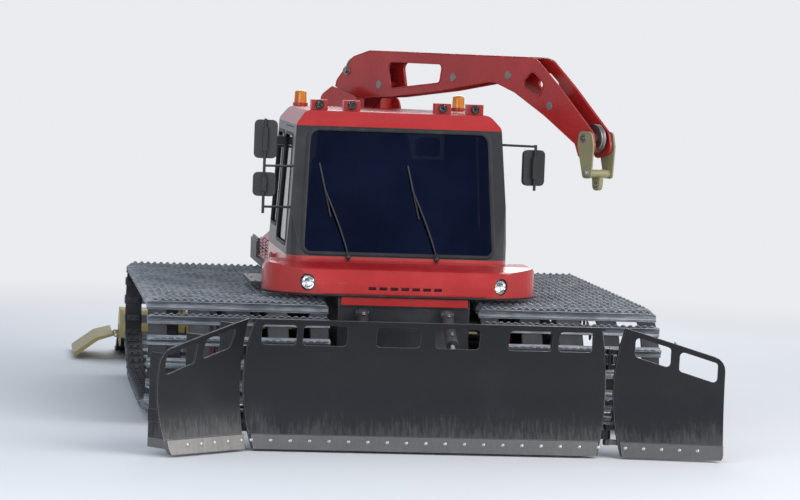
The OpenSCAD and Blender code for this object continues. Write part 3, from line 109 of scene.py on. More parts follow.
class Finish:
    """A material with one Principled surface, and the fields that its formulas start from."""

    def __init__(self, name, **plain):
        self.material = bpy.data.materials.new(name)
        self.material.use_nodes = True
        self.tree = self.material.node_tree
        self.surface = self.tree.nodes["Principled BSDF"]
        for socket, value in plain.items():
            self.surface.inputs[socket.replace("_", " ")].default_value = value

    def node(self, kind, settings=None, *terms, output=0, **named):
        """A node of that kind with its settings and the values or links of its sockets, as a Field."""
        made = self.tree.nodes.new(kind)
        for key, value in (settings or {}).items():
            setattr(made, key, value)
        for key, value in [*enumerate(terms), *named.items()]:
            if isinstance(value, Field):
                self.tree.links.new(value.socket, made.inputs[key])
            else:
                made.inputs[key].default_value = value
        return Field(self, made.outputs[output])

    def place(self):
        """The point on the surface, in metres in the machine's frame."""
        return self.node("ShaderNodeTexCoord", output="Object")

    def along(self, axis):
        """The point's distance along an axis, X, Y or Z."""
        return self.node("ShaderNodeSeparateXYZ", None, self.place(), output=axis)

    def spread(self, x, y, z):
        """The point with each axis stretched, so that grain runs along the axis with the small number."""
        return self.node("ShaderNodeMapping", None, Vector=self.place(), Scale=(x, y, z))

    def cloud(self, scale, detail=3.0, at=None, rough=0.55):
        """Soft noise of that many cells to the metre, about 0.5."""
        return self.node("ShaderNodeTexNoise", None, Vector=at or self.place(), Scale=scale, Detail=detail,
                         Roughness=rough)

    def cells(self, scale):
        """Distance to the nearest of the points scattered at that many cells to the metre."""
        return self.node("ShaderNodeTexVoronoi", None, Vector=self.place(), Scale=scale)

    def blend(self, share, first, second):
        """The colour between two, where share is 0 for the first and 1 for the second."""
        made = self.tree.nodes.new("ShaderNodeMix")
        made.data_type = "RGBA"
        for socket, value in (("Factor_Float", share), ("A_Color", first), ("B_Color", second)):
            target = next(s for s in made.inputs if s.identifier == socket)
            if isinstance(value, Field):
                self.tree.links.new(value.socket, target)
            else:
                target.default_value = value if socket == "Factor_Float" else (*value, 1.0)
        return Field(self, next(s for s in made.outputs if s.identifier == "Result_Color"))

    def edge(self, radius):
        """The normal of the surface with its edges rounded, and how far each point is onto such an edge."""
        round_normal = self.node("ShaderNodeBevel", {"samples": 4}, Radius=radius)
        normal = self.node("ShaderNodeNewGeometry", output="Normal")
        turn = self.node("ShaderNodeVectorMath", {"operation": "DOT_PRODUCT"}, round_normal, normal, output="Value")
        return round_normal, (1.0 - turn) * 5.0

    def bump(self, height, depth, normal=None):
        """The normal of a relief of that depth in metres."""
        sockets = {"Height": height, "Distance": depth, "Strength": 1.0}
        if normal is not None:
            sockets["Normal"] = normal
        return self.node("ShaderNodeBump", None, **sockets)

    def set(self, **varying):
        """Feeds fields to the surface's sockets."""
        for socket, value in varying.items():
            self.tree.links.new(value.socket, self.surface.inputs[socket.replace("_", " ")])
        return self.material


def toned(colour, share):
    """The colour made darker or lighter, up to white."""
    return tuple(min(1.0, c * share) for c in colour)


def coat(*nodes_and_finish):
    """Gives the last argument, a material, to the CAD nodes named before it."""
    *names, material = nodes_and_finish
    for name in names:
        node = frame["nodes"][name]
        node.data.materials.clear()
        node.data.materials.append(material)


# The floor is plain and pale, and runs out into the pale background. The light is a large soft key from
# the machine's left, where the sun stands in the photograph, with a broad fill and a weak one from behind.
def sheet_of(name, points, faces, material):
    """An object of those points and faces, at the origin."""
    mesh = bpy.data.meshes.new(name)
    mesh.from_pydata(points.tolist(), [], faces)
    mesh.materials.append(material)
    made = bpy.data.objects.new(name, mesh)
    scene.collection.objects.link(made)
    return made


background = (0.82, 0.835, 0.86)
floor_reach = 140.0
floor_paint = Finish("pale_floor", Roughness=0.8)
floor_paint.set(Base_Color=floor_paint.blend(floor_paint.cloud(0.6, 2.0), (0.70, 0.71, 0.73), (0.73, 0.74, 0.76)))
away = floor_paint.node("ShaderNodeVectorMath", {"operation": "LENGTH"}, floor_paint.place(), output="Value")
glow = floor_paint.node("ShaderNodeEmission", None, (*background, 1.0), 1.0)
mixed = floor_paint.node("ShaderNodeMixShader", None, away.ramp(6.0, 14.0),
                         Field(floor_paint, floor_paint.surface.outputs[0]), glow)
floor_paint.tree.links.new(mixed.socket, floor_paint.tree.nodes["Material Output"].inputs["Surface"])
corners = floor_reach * np.array([[-1, -1, 0], [1, -1, 0], [1, 1, 0], [-1, 1, 0]])
sheet_of("floor", corners - [0, 0, 0.001], [(0, 1, 2, 3)], floor_paint.material)

world = bpy.data.worlds.new("daylight")
scene.world = world
world.use_nodes = True
sky = world.node_tree
fill = sky.nodes["Background"]
fill.inputs["Color"].default_value = (0.80, 0.88, 1.0, 1.0)
fill.inputs["Strength"].default_value = 0.62
seen = sky.nodes.new("ShaderNodeBackground")
seen.inputs["Color"].default_value = (*background, 1.0)
ray = sky.nodes.new("ShaderNodeLightPath")
through = sky.nodes.new("ShaderNodeMath")
through.operation = "MAXIMUM"
choose = sky.nodes.new("ShaderNodeMixShader")
for source, end in ((ray.outputs["Is Camera Ray"], through.inputs[0]),
                    (ray.outputs["Is Transmission Ray"], through.inputs[1]),
                    (through.outputs[0], choose.inputs["Fac"]), (fill.outputs[0], choose.inputs[1]),
                    (seen.outputs[0], choose.inputs[2]),
                    (choose.outputs[0], sky.nodes["World Output"].inputs["Surface"])):
    sky.links.new(source, end)

# Rows: name, place, width and height in metres, power in watts, colour
softboxes = [
    ("key", (9.0, -8.5, 8.0), 11.0, 8.0, 1250, (1.0, 0.965, 0.92)),
    ("front_fill", (-6.0, -11.0, 4.5), 8.0, 6.0, 430, (0.90, 0.95, 1.0)),
    ("rear_rim", (2.5, 10.0, 7.0), 8.0, 4.0, 430, (1.0, 0.98, 0.96)),
]
for name, place, width, height, power, colour in softboxes:
    lamp = bpy.data.objects.new(name, bpy.data.lights.new(name, "AREA"))
    lamp.data.shape = "RECTANGLE"
    lamp.data.size, lamp.data.size_y = width, height
    lamp.data.energy = power
    lamp.data.color = colour
    lamp.location = place
    lamp.rotation_euler = (Vector((0, 0, 1.2)) - Vector(place)).to_track_quat("-Z", "Y").to_euler()
    scene.collection.objects.link(lamp)


# Hull and running gear. The hull is a welded box of black painted plate, the axle arms are castings
# bolted to it, and all of it wears bright along its edges and dull where salt and spray dry on it.
def painted(name, colour, worn=(0.24, 0.23, 0.22), gloss=0.34, wear=1.0, dust=0.5):
    """Paint on steel: cloudy in tone, rubbed through along the edges, and dulled by dried spray."""
    paint = Finish(name, Specular_IOR_Level=0.38, Coat_Roughness=0.2)
    large, fine = paint.cloud(1.4, 4.0), paint.cloud(24.0, 4.0, rough=0.7)
    normal, edge = paint.edge(0.005)
    rubbed = (edge * 1.6 + (fine - 0.5) * 1.3 - 0.42).ramp(0.0, 0.5) * wear
    scuffs = (paint.cloud(3.0, 5.0, paint.spread(1.0, 1.0, 7.0)) - 0.66).ramp(0.0, 0.05) * (0.6 * wear)
    low = (0.75 - paint.along("Z")).ramp(0.0, 0.9)
    spray = (large.ramp(0.42, 0.77) * 0.4 + low * 0.55 + fine.ramp(0.55, 0.85) * 0.2) * dust
    tone = paint.blend(large.ramp(0.3, 0.7), toned(colour, 0.86), toned(colour, 1.12))
    tone = paint.blend(spray, tone, (0.36, 0.36, 0.36))
    tone = paint.blend(scuffs, tone, tuple(0.5 * c + 0.06 for c in colour))
    tone = paint.blend(rubbed, tone, worn)
    paint.set(Base_Color=tone, Metallic=rubbed * 0.8,
              Roughness=gloss + spray * 0.35 + rubbed * 0.08 + scuffs * 0.2 + (fine - 0.5) * 0.08,
              Coat_Weight=(1.0 - spray) * 0.24,
              Normal=paint.bump(paint.cloud(260.0, 2.0) * 0.6 + fine - rubbed * 0.8, 0.00025, normal))
    return paint.material


def cast(name, colour, gloss=0.55, grain=160.0, depth=0.0006, metal=0.9):
    """Bare metal, sand cast or rolled, with a grain and darker pits."""
    made = Finish(name, Metallic=metal)
    large, fine = made.cloud(5.0, 4.0), made.cloud(grain, 3.0)
    normal, edge = made.edge(0.004)
    tone = made.blend(large.ramp(0.3, 0.7), toned(colour, 0.72), colour)
    tone = made.blend(fine.ramp(0.6, 0.8) * 0.5, tone, toned(colour, 0.4))
    tone = made.blend(edge.ramp(0.1, 0.5) * 0.6, tone, toned(colour, 1.5))
    made.set(Base_Color=tone, Roughness=gloss + (large - 0.5) * 0.25 - edge.ramp(0.1, 0.5) * 0.15,
             Normal=made.bump(fine, depth, normal))
    return made.material


black_paint = painted("black_hull_paint", (0.017, 0.018, 0.021), gloss=0.42, dust=0.34)
hull_red = painted("red_body_paint", (0.43, 0.016, 0.016), worn=(0.20, 0.17, 0.16), gloss=0.26, wear=0.75, dust=0.17)
dark_casting = cast("dark_casting", (0.11, 0.11, 0.12), 0.6)
coat("chassis", "axles", black_paint)
coat("sprockets", dark_casting)
coat("rims", hull_red)


# Tracks. Five rubber belts side by side carry fifty-six crossbars of drawn aluminium, each with a steel
# ice edge, bolted through the belts onto inner plates. Steel guides on the plates keep the tyres in line.
def fitted(name, body, material, parts, crease=35.0):
    """One piece from rows of (points, faces). Doubles are merged, faces are turned outward, and edges that
    turn by more than the crease, in degrees, stay sharp."""
    points = np.concatenate([p for p, _ in parts])
    starts = np.cumsum([0] + [len(p) for p, _ in parts[:-1]])
    corners = [[i + start for i in f] for start, (_, faces) in zip(starts.tolist(), parts) for f in faces]
    mesh = bpy.data.meshes.new(name)
    mesh.from_pydata(points.tolist(), [], corners)
    shell = bmesh.new()
    shell.from_mesh(mesh)
    bmesh.ops.remove_doubles(shell, verts=shell.verts, dist=1e-5)
    bmesh.ops.recalc_face_normals(shell, faces=shell.faces)
    shell.to_mesh(mesh)
    shell.free()
    mesh.shade_smooth()
    mesh.set_sharp_from_angle(angle=math.radians(crease))
    mesh.materials.append(material)
    made = bpy.data.objects.new(name, mesh)
    scene.collection.objects.link(made)
    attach(made, body)
    return made


def skin(rings, closed=False, caps=True, around=True):
    """Faces over a grid of points: rings[i, j] is point j of ring i, and the rings join in turn. Around makes
    each ring go round, closed joins the last ring to the first, and caps close the first and last rings."""
    n, m = rings.shape[:2]
    i, j = np.meshgrid(np.arange(n if closed else n - 1), np.arange(m if around else m - 1), indexing="ij")
    i2, j2 = (i + 1) % n, (j + 1) % m
    faces = np.stack([i * m + j, i * m + j2, i2 * m + j2, i2 * m + j], axis=-1).reshape(-1, 4).tolist()
    if caps and not closed:
        faces += [list(range(m))[::-1], list(range((n - 1) * m, n * m))]
    return rings.reshape(-1, 3), faces


def copies(form, frames):
    """The form once for each frame, a 3 x 4 array of its axes and its origin: point = axes . p + origin."""
    points, faces = form
    frames = np.asarray(frames, float)
    moved = np.einsum("kij,pj->kpi", frames[:, :, :3], points) + frames[:, None, :, 3]
    return moved.reshape(-1, 3), [[i + k * len(points) for i in f] for k in range(len(frames)) for f in faces]


def frames_of(origins, normals, ups=(0, 0, 1)):
    """Frames whose third axis is the normal and whose first is square to up and the normal."""
    origins = np.atleast_2d(np.asarray(origins, float))
    normals = np.broadcast_to(np.asarray(normals, float), origins.shape)
    ups = np.broadcast_to(np.asarray(ups, float), origins.shape)
    z = normals / np.linalg.norm(normals, axis=1, keepdims=True)
    x = np.cross(ups, z)
    short = np.linalg.norm(x, axis=1) < 1e-6
    x[short] = np.cross(np.broadcast_to([0.0, 1.0, 0.0], x.shape)[short], z[short])
    x /= np.linalg.norm(x, axis=1, keepdims=True)
    return np.stack([x, np.cross(z, x), z, origins], axis=-1)


def placed(form, origins, normals, ups=(0, 0, 1)):
    """The form once at each of the origins, with its own Z along the normal there."""
    return copies(form, frames_of(origins, normals, ups))


def mirrored(side, parts):
    """The parts as they are for side 1, and mirrored over the machine's middle for side -1."""
    return [(p * [side, 1, 1], f) for p, f in parts]


def points_at(*coordinates):
    """Points from their coordinates, each of them a number or numbers in a row, a column or a grid."""
    return np.stack(np.broadcast_arrays(*coordinates), axis=-1)


def circle_of(count, radius=1.0, start=0.0):
    """That many points (across, up) evenly round a circle, from the angle start."""
    a = np.arange(count) * 2 * np.pi / count + start
    return radius * points_at(np.cos(a), np.sin(a))


def turned(profile, around=24, closed=False):
    """A profile of (radius, height) revolved about Z: point = (r cos a, r sin a, h). Closed makes a ring."""
    c, s = circle_of(around).T
    r, h = np.asarray(profile, float).T[:, :, None]
    return skin(points_at(r * c, r * s, h), closed)


def hex_bolt(size, head=0.6):
    """A bolt's head on its washer, size across its corners: rings of the six corners, the top one chamfered."""
    c, s = circle_of(12).T
    corner = np.where(np.arange(12) % 2 == 0, 0.5, 0.5 * np.cos(np.pi / 6))
    # Rows: height, width, and whether the ring follows the corners or the round washer
    rows = np.array([(0.0, 0.72, 0), (0.12, 0.72, 0), (0.12, 1, 1), (head, 1, 1), (head + 0.08, 0.86, 1)])
    reach = size * rows[:, 1:2] * np.where(rows[:, 2:] > 0, corner[None, :], 1.0)
    return skin(points_at(reach * c, reach * s, size * rows[:, :1]))


def plate(outline, thick, bevel=0.003):
    """A flat plate in XY with bevelled rims: the outline drawn in by the bevel, full, full and drawn in."""
    p = np.asarray(outline, float)
    inward = np.roll(p, -1, 0) - np.roll(p, 1, 0)
    inward = points_at(-inward[:, 1], inward[:, 0])
    inward /= np.maximum(np.linalg.norm(inward, axis=1, keepdims=True), 1e-9)
    area = np.sum(p[:, 0] * np.roll(p[:, 1], -1) - np.roll(p[:, 0], -1) * p[:, 1])
    small = p + inward * bevel * (1 if area > 0 else -1)
    rows = [(small, 0), (p, bevel), (p, thick - bevel), (small, thick)]
    return skin(np.array([points_at(*q.T, z) for q, z in rows]))


track_in, track_w = 0.62, 1.48
shoe_h, belt_t, shoe_count, shoe_foot = 0.09, 0.022, 56, 0.084
wheel_r, sprocket_r, wheel_pitch = 0.36, 0.30, 0.76
idler_y, idler_rise, sprocket_y, sprocket_rise = 1.905, 0.095, 1.9, 0.16
slant_extra, first_bar = 0.14, 0.010
link = (2 * (idler_y + sprocket_y) + math.pi * (wheel_r + sprocket_r) + slant_extra) / shoe_count
belt_gap = max(shoe_foot, link - shoe_foot) ** 2 / 8 / sprocket_r + 0.0001
road_z = shoe_h + belt_t + belt_gap + wheel_r
track_mid = track_in + track_w / 2
road_ys = np.arange(-1.5, 2.0) * wheel_pitch
# Rows: along, up and radius of the belt's inner side at each wheel that it wraps
wraps = np.array([[road_ys[0], road_z, wheel_r], [road_ys[3], road_z, wheel_r],
                  [sprocket_y, road_z + sprocket_rise, sprocket_r], [-idler_y, road_z + idler_rise, wheel_r]])
wraps[:, 2] += belt_gap


def belt_line():
    """The inner side of the belt: round each wheel between the outer tangents of its neighbours. Each point
    comes with the outward direction there, eighty points to each wheel's arc, joined by straight runs."""
    after = np.roll(wraps, -1, 0)
    d = after - wraps
    out = np.arctan2(d[:, 1], d[:, 0]) - np.arccos((wraps[:, 2] - after[:, 2]) / np.hypot(d[:, 0], d[:, 1]))
    points = []
    for k in range(4):
        a0, a1 = out[k - 1], out[k]
        a = np.linspace(a0, a0 + (a1 - a0) % (2 * np.pi), 80)
        y, z, r = wraps[k]
        points.append(points_at(y + r * np.cos(a), z + r * np.sin(a), a))
    line = np.concatenate(points)
    line[:, 2] = np.unwrap(line[:, 2])
    line = np.vstack([line, line[0] + [0, 0, 2 * np.pi]])
    first_wrap = (out[0] - out[3]) % (2 * np.pi) * wraps[0, 2]
    length = np.concatenate([[0], np.cumsum(np.hypot(*np.diff(line[:, :2], axis=0).T))])
    return line, length, first_wrap


line, length, first_wrap = belt_line()
link_len = length[-1] / shoe_count


def belt_at(s, h):
    """Points (along, up) at distance s along the belt, h out from its inner side."""
    s = np.mod(s, length[-1])
    y, z, a = (np.interp(s, length, line[:, k]) for k in range(3))
    return points_at(y + h * np.cos(a), z + h * np.sin(a))


mids = first_wrap + first_bar + (np.arange(shoe_count) + 0.5) * link_len
foot_a, foot_b = belt_at(mids - shoe_foot / 2, belt_t), belt_at(mids + shoe_foot / 2, belt_t)
go = (foot_b - foot_a) / np.linalg.norm(foot_b - foot_a, axis=1, keepdims=True)
out = points_at(go[:, 1], -go[:, 0])
foot = (foot_a + foot_b) / 2
# Frames of the bars: X across the machine, Y along the belt, Z outward
bar_frames = np.zeros((shoe_count, 3, 4))
bar_frames[:, 0, 0] = 1
bar_frames[:, 1:, 1], bar_frames[:, 1:, 2], bar_frames[:, 1:, 3] = go, out, foot
bar_frames[:, 0, 3] = track_mid

# A bar's foot flange and web, and the toothed ice edge set into its top. Rows: along, up
bar_section = np.array([[-42, 0], [-42, 7], [-21, 12], [-13, 24], [-10, 52], [-10, 62],
                        [10, 62], [10, 52], [13, 24], [21, 12], [42, 7], [42, 0]]) / 1000
edge_section = np.array([[-5.5, 58], [-5, 86], [-2.5, 90], [2.5, 90], [5, 86], [5.5, 58]]) / 1000
ends = track_w / 2 - np.array([0.0, 0.012, 0.034])
x = np.concatenate([-ends, ends[::-1]])[:, None]
tall = np.array([0.5, 0.62, 1.0, 1.0, 0.62, 0.5])[:, None]
bar = skin(points_at(x, bar_section[:, 0], np.minimum(bar_section[:, 1], shoe_h * tall)))
teeth = 24
x = np.concatenate([[-ends[1]], np.linspace(-ends[2], ends[2], 4 * teeth), [ends[1]]])[:, None]
tall = np.concatenate([[0.62], np.where(np.arange(4 * teeth) % 4 < 2, 1.0, 0.82), [0.62]])[:, None]
along, up = edge_section.T
ice_edge = skin(points_at(x, along, np.where(up > 0.07, up * tall, np.minimum(up, 0.075 * tall))))

# Belts: rows of the middle of each belt from the middle of the track, and its width
belts = [(-0.655, 0.15), (-0.32, 0.17), (0.0, 0.20), (0.32, 0.17), (0.655, 0.15)]
steps = np.arange(shoe_count * 4) * link_len / 4


def belt(middle, width):
    """A belt with rounded rims: a flat oblong section carried round the belt line."""
    w, r, t = width / 2, 0.006, belt_t
    section = [(-w, r), (r - w, 0), (w - r, 0), (w, r), (w, t - r), (w - r, t), (r - w, t), (-w, t - r)]
    rings = [points_at(track_mid + middle + u, *belt_at(steps, h).T) for u, h in section]
    return skin(np.stack(rings, axis=1), closed=True)


# Inner plates under each bar, on all belts but the middle one, the bolts through them and through the
# bars, and the guides beside the tyres
inner = [m for m, _ in belts if m]
pad = plate([(-0.055, -0.03), (0.055, -0.03), (0.055, 0.03), (-0.055, 0.03)], 0.008)
flip = np.diag([1.0, -1.0, -1.0])


def on_bars(form, across, up, turn=np.eye(3)):
    """The form at each bar, moved across the machine and up from the belt's face, and turned."""
    frames = bar_frames.copy()
    frames[:, :, 3] += across * bar_frames[:, :, 0] + up * bar_frames[:, :, 2]
    frames[:, :, :3] = bar_frames[:, :, :3] @ turn
    return copies(form, frames)


guide = plate([(-0.04, 0.0), (0.04, 0.0), (0.022, 0.058), (0.01, 0.066), (-0.01, 0.066), (-0.022, 0.058)], 0.012)
hanging = np.array([[0.0, 0.0, 1.0], [1.0, 0.0, 0.0], [0.0, -1.0, 0.0]])
stud_offs = (-0.03, 0.03)
bolt = turned([(0.011, 0.0), (0.011, 0.0132), (0.0095, 0.015)], 6)
fittings = [on_bars(pad, m, -belt_t - 0.0005, flip) for m in inner]
fittings += [on_bars(guide, across - 0.006, -belt_t - 0.002, hanging) for across in (-0.175, 0.175)]
fittings += [on_bars(bolt, m + dx, -belt_t - 0.008, flip) for m in inner for dx in stud_offs]
fittings += [on_bars(bolt, m + dx, 0.0075) for m, _ in belts for dx in stud_offs]

belt_rubber = Finish("belt_rubber", Specular_IOR_Level=0.35)
ply, dry = belt_rubber.cloud(90.0, 3.0, belt_rubber.spread(1.0, 0.2, 0.2)), belt_rubber.cloud(2.2, 4.0)
belt_rubber.set(Base_Color=belt_rubber.blend(dry.ramp(0.4, 0.8) * 0.55, (0.022, 0.023, 0.025), (0.11, 0.115, 0.125)),
                Roughness=0.62 + (ply - 0.5) * 0.2, Normal=belt_rubber.bump(ply, 0.0008))
bar_alloy = Finish("bar_alloy", Metallic=0.85)
scrape = bar_alloy.cloud(30.0, 4.0, bar_alloy.spread(0.25, 2.0, 2.0))
stain = bar_alloy.cloud(2.6, 4.0)
round_edge, bright = bar_alloy.edge(0.003)
alloy = bar_alloy.blend(scrape.ramp(0.35, 0.7), (0.17, 0.18, 0.20), (0.34, 0.36, 0.39))
alloy = bar_alloy.blend(stain.ramp(0.5, 0.75) * 0.6, alloy, (0.085, 0.09, 0.10))
bar_alloy.set(Base_Color=bar_alloy.blend(bright.ramp(0.15, 0.6), alloy, (0.62, 0.64, 0.66)),
              Roughness=0.46 + (stain - 0.5) * 0.3, Normal=bar_alloy.bump(scrape, 0.0005, round_edge))
track_pieces = [("bars", "track", bar_alloy.material, [copies(bar, bar_frames), copies(ice_edge, bar_frames)]),
                ("belts", "tyre_rubber", belt_rubber.material, [belt(m, w) for m, w in belts]),
                ("fittings", "steel", dark_casting, fittings)]
for side, name in ((1, "left"), (-1, "right")):
    for piece, slot, finish, parts in track_pieces:
        made = fitted(f"track_{piece}_{name}", "hull", finish, mirrored(side, parts), 30)
        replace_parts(made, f"track_{name}")


# Wheels. Ten solid tyres run on pressed red rims, each held to its hub by eight bolts round a grease cap.
# The tyres are moulded rubber with a block tread and a ribbed shoulder, worn grey where the guides rub.
rim_r, tyre_w, hub_face, stud_circle = 0.215, 0.24, 0.046, 0.058
wheels = np.array([[track_mid, y, road_z] for y in road_ys] + [[track_mid, -idler_y, road_z + idler_rise]])
all_wheels = np.concatenate([wheels, wheels * [-1, 1, 1]])


def tyre():
    """A tyre about Z: its closed section of (radius, width) carried round, and drawn in by the tread's
    grooves, 8 mm deep, at every fourth step round on alternate sides and along two rings."""
    w, steps = tyre_w / 2, 72
    half = np.array([[rim_r + 0.001, w - 0.016], [0.25, w - 0.004], [0.30, w], [wheel_r - 0.03, w - 0.006],
                     [wheel_r - 0.006, w - 0.030], *([wheel_r, up] for up in (w - 0.050, 0.034, 0.026, 0.018))])
    section = np.concatenate([half * [1, -1], half[::-1]])
    c, s = circle_of(steps).T[:, :, None]
    step = np.arange(steps)[:, None] % 4
    groove = ((section[:, 1] < -0.02) & (step == 0)) | ((section[:, 1] > 0.02) & (step == 2))
    groove = groove | (np.abs(np.abs(section[:, 1]) - 0.026) < 0.001)
    radius = section[:, 0] - 0.008 * (groove & (section[:, 0] > wheel_r - 0.02))
    return skin(points_at(radius * c, radius * s, section[:, 1]), closed=True)


tyre_rubber = Finish("tyre_rubber", Specular_IOR_Level=0.3)
grit, chalk = tyre_rubber.cloud(140.0, 3.0), tyre_rubber.cloud(6.0, 4.0)
tyre_rubber.set(Base_Color=tyre_rubber.blend(chalk.ramp(0.4, 0.75) * 0.5, (0.018, 0.018, 0.019), (0.075, 0.075, 0.08)),
                Roughness=0.66 + (grit - 0.5) * 0.2, Normal=tyre_rubber.bump(grit, 0.0006))
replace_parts(fitted("tread_tyres", "hull", tyre_rubber.material,
                   [placed(tyre(), all_wheels, (1, 0, 0))], 40), "tyres")
outward = np.sign(all_wheels[:, :1]) * [1, 0, 0]
hubs = all_wheels + outward * hub_face
studs = (hubs[:, None] + points_at(0, *circle_of(8, stud_circle).T)).reshape(-1, 3)
grease_cap = turned([(0.0001, 0), (0.034, 0), (0.034, 0.012), (0.030, 0.020), (0.016, 0.026), (0.0001, 0.027)])
zinc = cast("zinc_fixings", (0.50, 0.50, 0.48), 0.38, 300.0, 0.0002)
fitted("wheel_bolts", "hull", zinc,
       [placed(hex_bolt(0.019), studs, np.repeat(outward, 8, 0)), placed(grease_cap, hubs, outward)])

# Deck. A plate folded from tread steel carries the cab and the engine. Behind them it is the load
# platform, edged by side rails, with a smooth bed plate bolted down in its middle.
deck_z = 1.132


def tread_plate(name, colour):
    """Tread steel: rows of raised lozenges, each the product of two crossed waves, worn bright on top."""
    steel = Finish(name)
    x, y = steel.along("X"), steel.along("Y")
    a, b = (x + y) * 74.0, (x - y) * 74.0
    stud = (a.wave() * b.wave() * (1.0 - (steel.along("Z") < deck_z - 0.033))).ramp(0.45, 0.7)
    old, fine = steel.cloud(3.0, 4.0), steel.cloud(60.0, 3.0)
    normal, edge = steel.edge(0.004)
    bare = (stud * 0.55 * old.ramp(0.35, 0.6)).larger(edge.ramp(0.15, 0.6))
    tone = steel.blend(old.ramp(0.3, 0.7), toned(colour, 0.7), colour)
    tone = steel.blend(fine.ramp(0.5, 0.8) * 0.35, tone, (0.34, 0.34, 0.34))
    steel.set(Base_Color=steel.blend(bare, tone, (0.42, 0.42, 0.41)), Metallic=bare * 0.8,
              Roughness=0.52 - bare * 0.15 + (fine - 0.5) * 0.2, Normal=steel.bump(stud + fine * 0.15, 0.0018, normal))
    return steel.material


deck_tread = tread_plate("deck_tread", (0.060, 0.062, 0.066))
coat("deck", "platforms", deck_tread)
bed = [(x, y, deck_z + 0.010) for x in (-0.68, -0.34, 0.0, 0.34, 0.68) for y in (1.725, 2.285)]
rail = [(s * 0.905, y, deck_z + 0.150) for s in (-1, 1) for y in np.arange(1.75, 2.3, 0.17)]
fitted("platform_bolts", "hull", zinc, [placed(hex_bolt(0.024), bed + rail, (0, 0, 1))])
steps = [(s * (0.93 + d), y, deck_z - 0.008) for s in (-1, 1) for d in (0.04, 0.235) for y in (-1.21, -0.80, -0.39)]
fitted("step_bolts", "hull", zinc, [placed(hex_bolt(0.020), steps, (0, 0, 1))])

# Nose. A moulded cover over the heater and the radiator's header, painted red, with two lamps let into
# its corners and a slotted grille. A rubber lip is pressed onto its lower edge.
nose_paint = painted("red_nose_paint", (0.43, 0.016, 0.016), worn=(0.20, 0.17, 0.16), gloss=0.24, wear=0.6, dust=0.15)
coat("nose", nose_paint)
nose_half, nose_front, nose_low = 1.130, 2.090, 1.077


def tube(path, radius, around=10, closed=False):
    """A round bar along a path: at each point a circle square to the path's direction there."""
    p = np.asarray(path, float)
    ahead = np.roll(p, -1, 0) - np.roll(p, 1, 0)
    if not closed:
        ahead[0], ahead[-1] = p[1] - p[0], p[-1] - p[-2]
    ahead /= np.linalg.norm(ahead, axis=1, keepdims=True)
    side = np.zeros_like(p)
    side[0] = np.cross(ahead[0], [0.3, 0.5, 0.81])
    for k in range(1, len(p)):
        side[k] = side[k - 1] - ahead[k] * (side[k - 1] @ ahead[k])
        side[k] /= np.linalg.norm(side[k])
    side[0] /= np.linalg.norm(side[0])
    up = np.cross(ahead, side)
    a = np.linspace(0, 2 * np.pi, around, endpoint=False)[None, :]
    if closed:
        a = a - np.arctan2(side[-1] @ up[0], side[-1] @ side[0]) * np.arange(len(p))[:, None] / len(p)
    rings = p[:, None] + radius * (np.cos(a)[..., None] * side[:, None] + np.sin(a)[..., None] * up[:, None])
    return skin(rings, closed=closed)


def rounded(rows, steps=5):
    """An outline from rows of (across, up, radius of the corner), each corner an arc between its tangents."""
    rows = np.asarray(rows, float)
    points = []
    for a, p, b in zip(np.roll(rows, 1, 0), rows, np.roll(rows, -1, 0)):
        u, v = (a[:2] - p[:2]) / np.linalg.norm(a[:2] - p[:2]), (b[:2] - p[:2]) / np.linalg.norm(b[:2] - p[:2])
        half = math.acos(max(-1.0, min(1.0, float(u @ v)))) / 2
        if p[2] <= 0:
            points.append(p[None, :2])
            continue
        c = p[:2] + (u + v) / np.linalg.norm(u + v) * p[2] / math.sin(half)
        s, e = p[:2] + u * p[2] / math.tan(half) - c, p[:2] + v * p[2] / math.tan(half) - c
        a0 = math.atan2(s[1], s[0])
        sweep = (math.atan2(e[1], e[0]) - a0 + math.pi) % (2 * math.pi) - math.pi
        t = a0 + sweep * np.linspace(0, 1, steps + 1)
        points.append(c + p[2] * points_at(np.cos(t), np.sin(t)))
    return np.concatenate(points)


def oblong(half_wide, half_high, radius, steps=5):
    """The outline of an oblong round the origin, with rounded corners."""
    return rounded([[x * half_wide, y * half_high, radius] for x, y in ((-1, -1), (1, -1), (1, 1), (-1, 1))], steps)


seal_rubber = Finish("seal_rubber", Roughness=0.55, Specular_IOR_Level=0.4)
bloom = seal_rubber.cloud(9.0).ramp(0.45, 0.75) * 0.4
seal_rubber.set(Base_Color=seal_rubber.blend(bloom, (0.012, 0.012, 0.013), (0.06, 0.06, 0.062)),
                Normal=seal_rubber.bump(seal_rubber.cloud(220.0, 2.0), 0.0004))
plan = rounded([[-nose_half, -1.485, 0], [-nose_half, -1.77, 0.32], [-nose_half + 0.4, -nose_front, 0.38],
                [nose_half - 0.4, -nose_front, 0.38], [nose_half, -1.77, 0.32], [nose_half, -1.485, 0]], 10)
lip = points_at(*plan.T, nose_low + 0.010) * [0.995, 0.997, 1]
fitted("nose_lip", "hull", seal_rubber.material, [tube(lip, 0.011)])

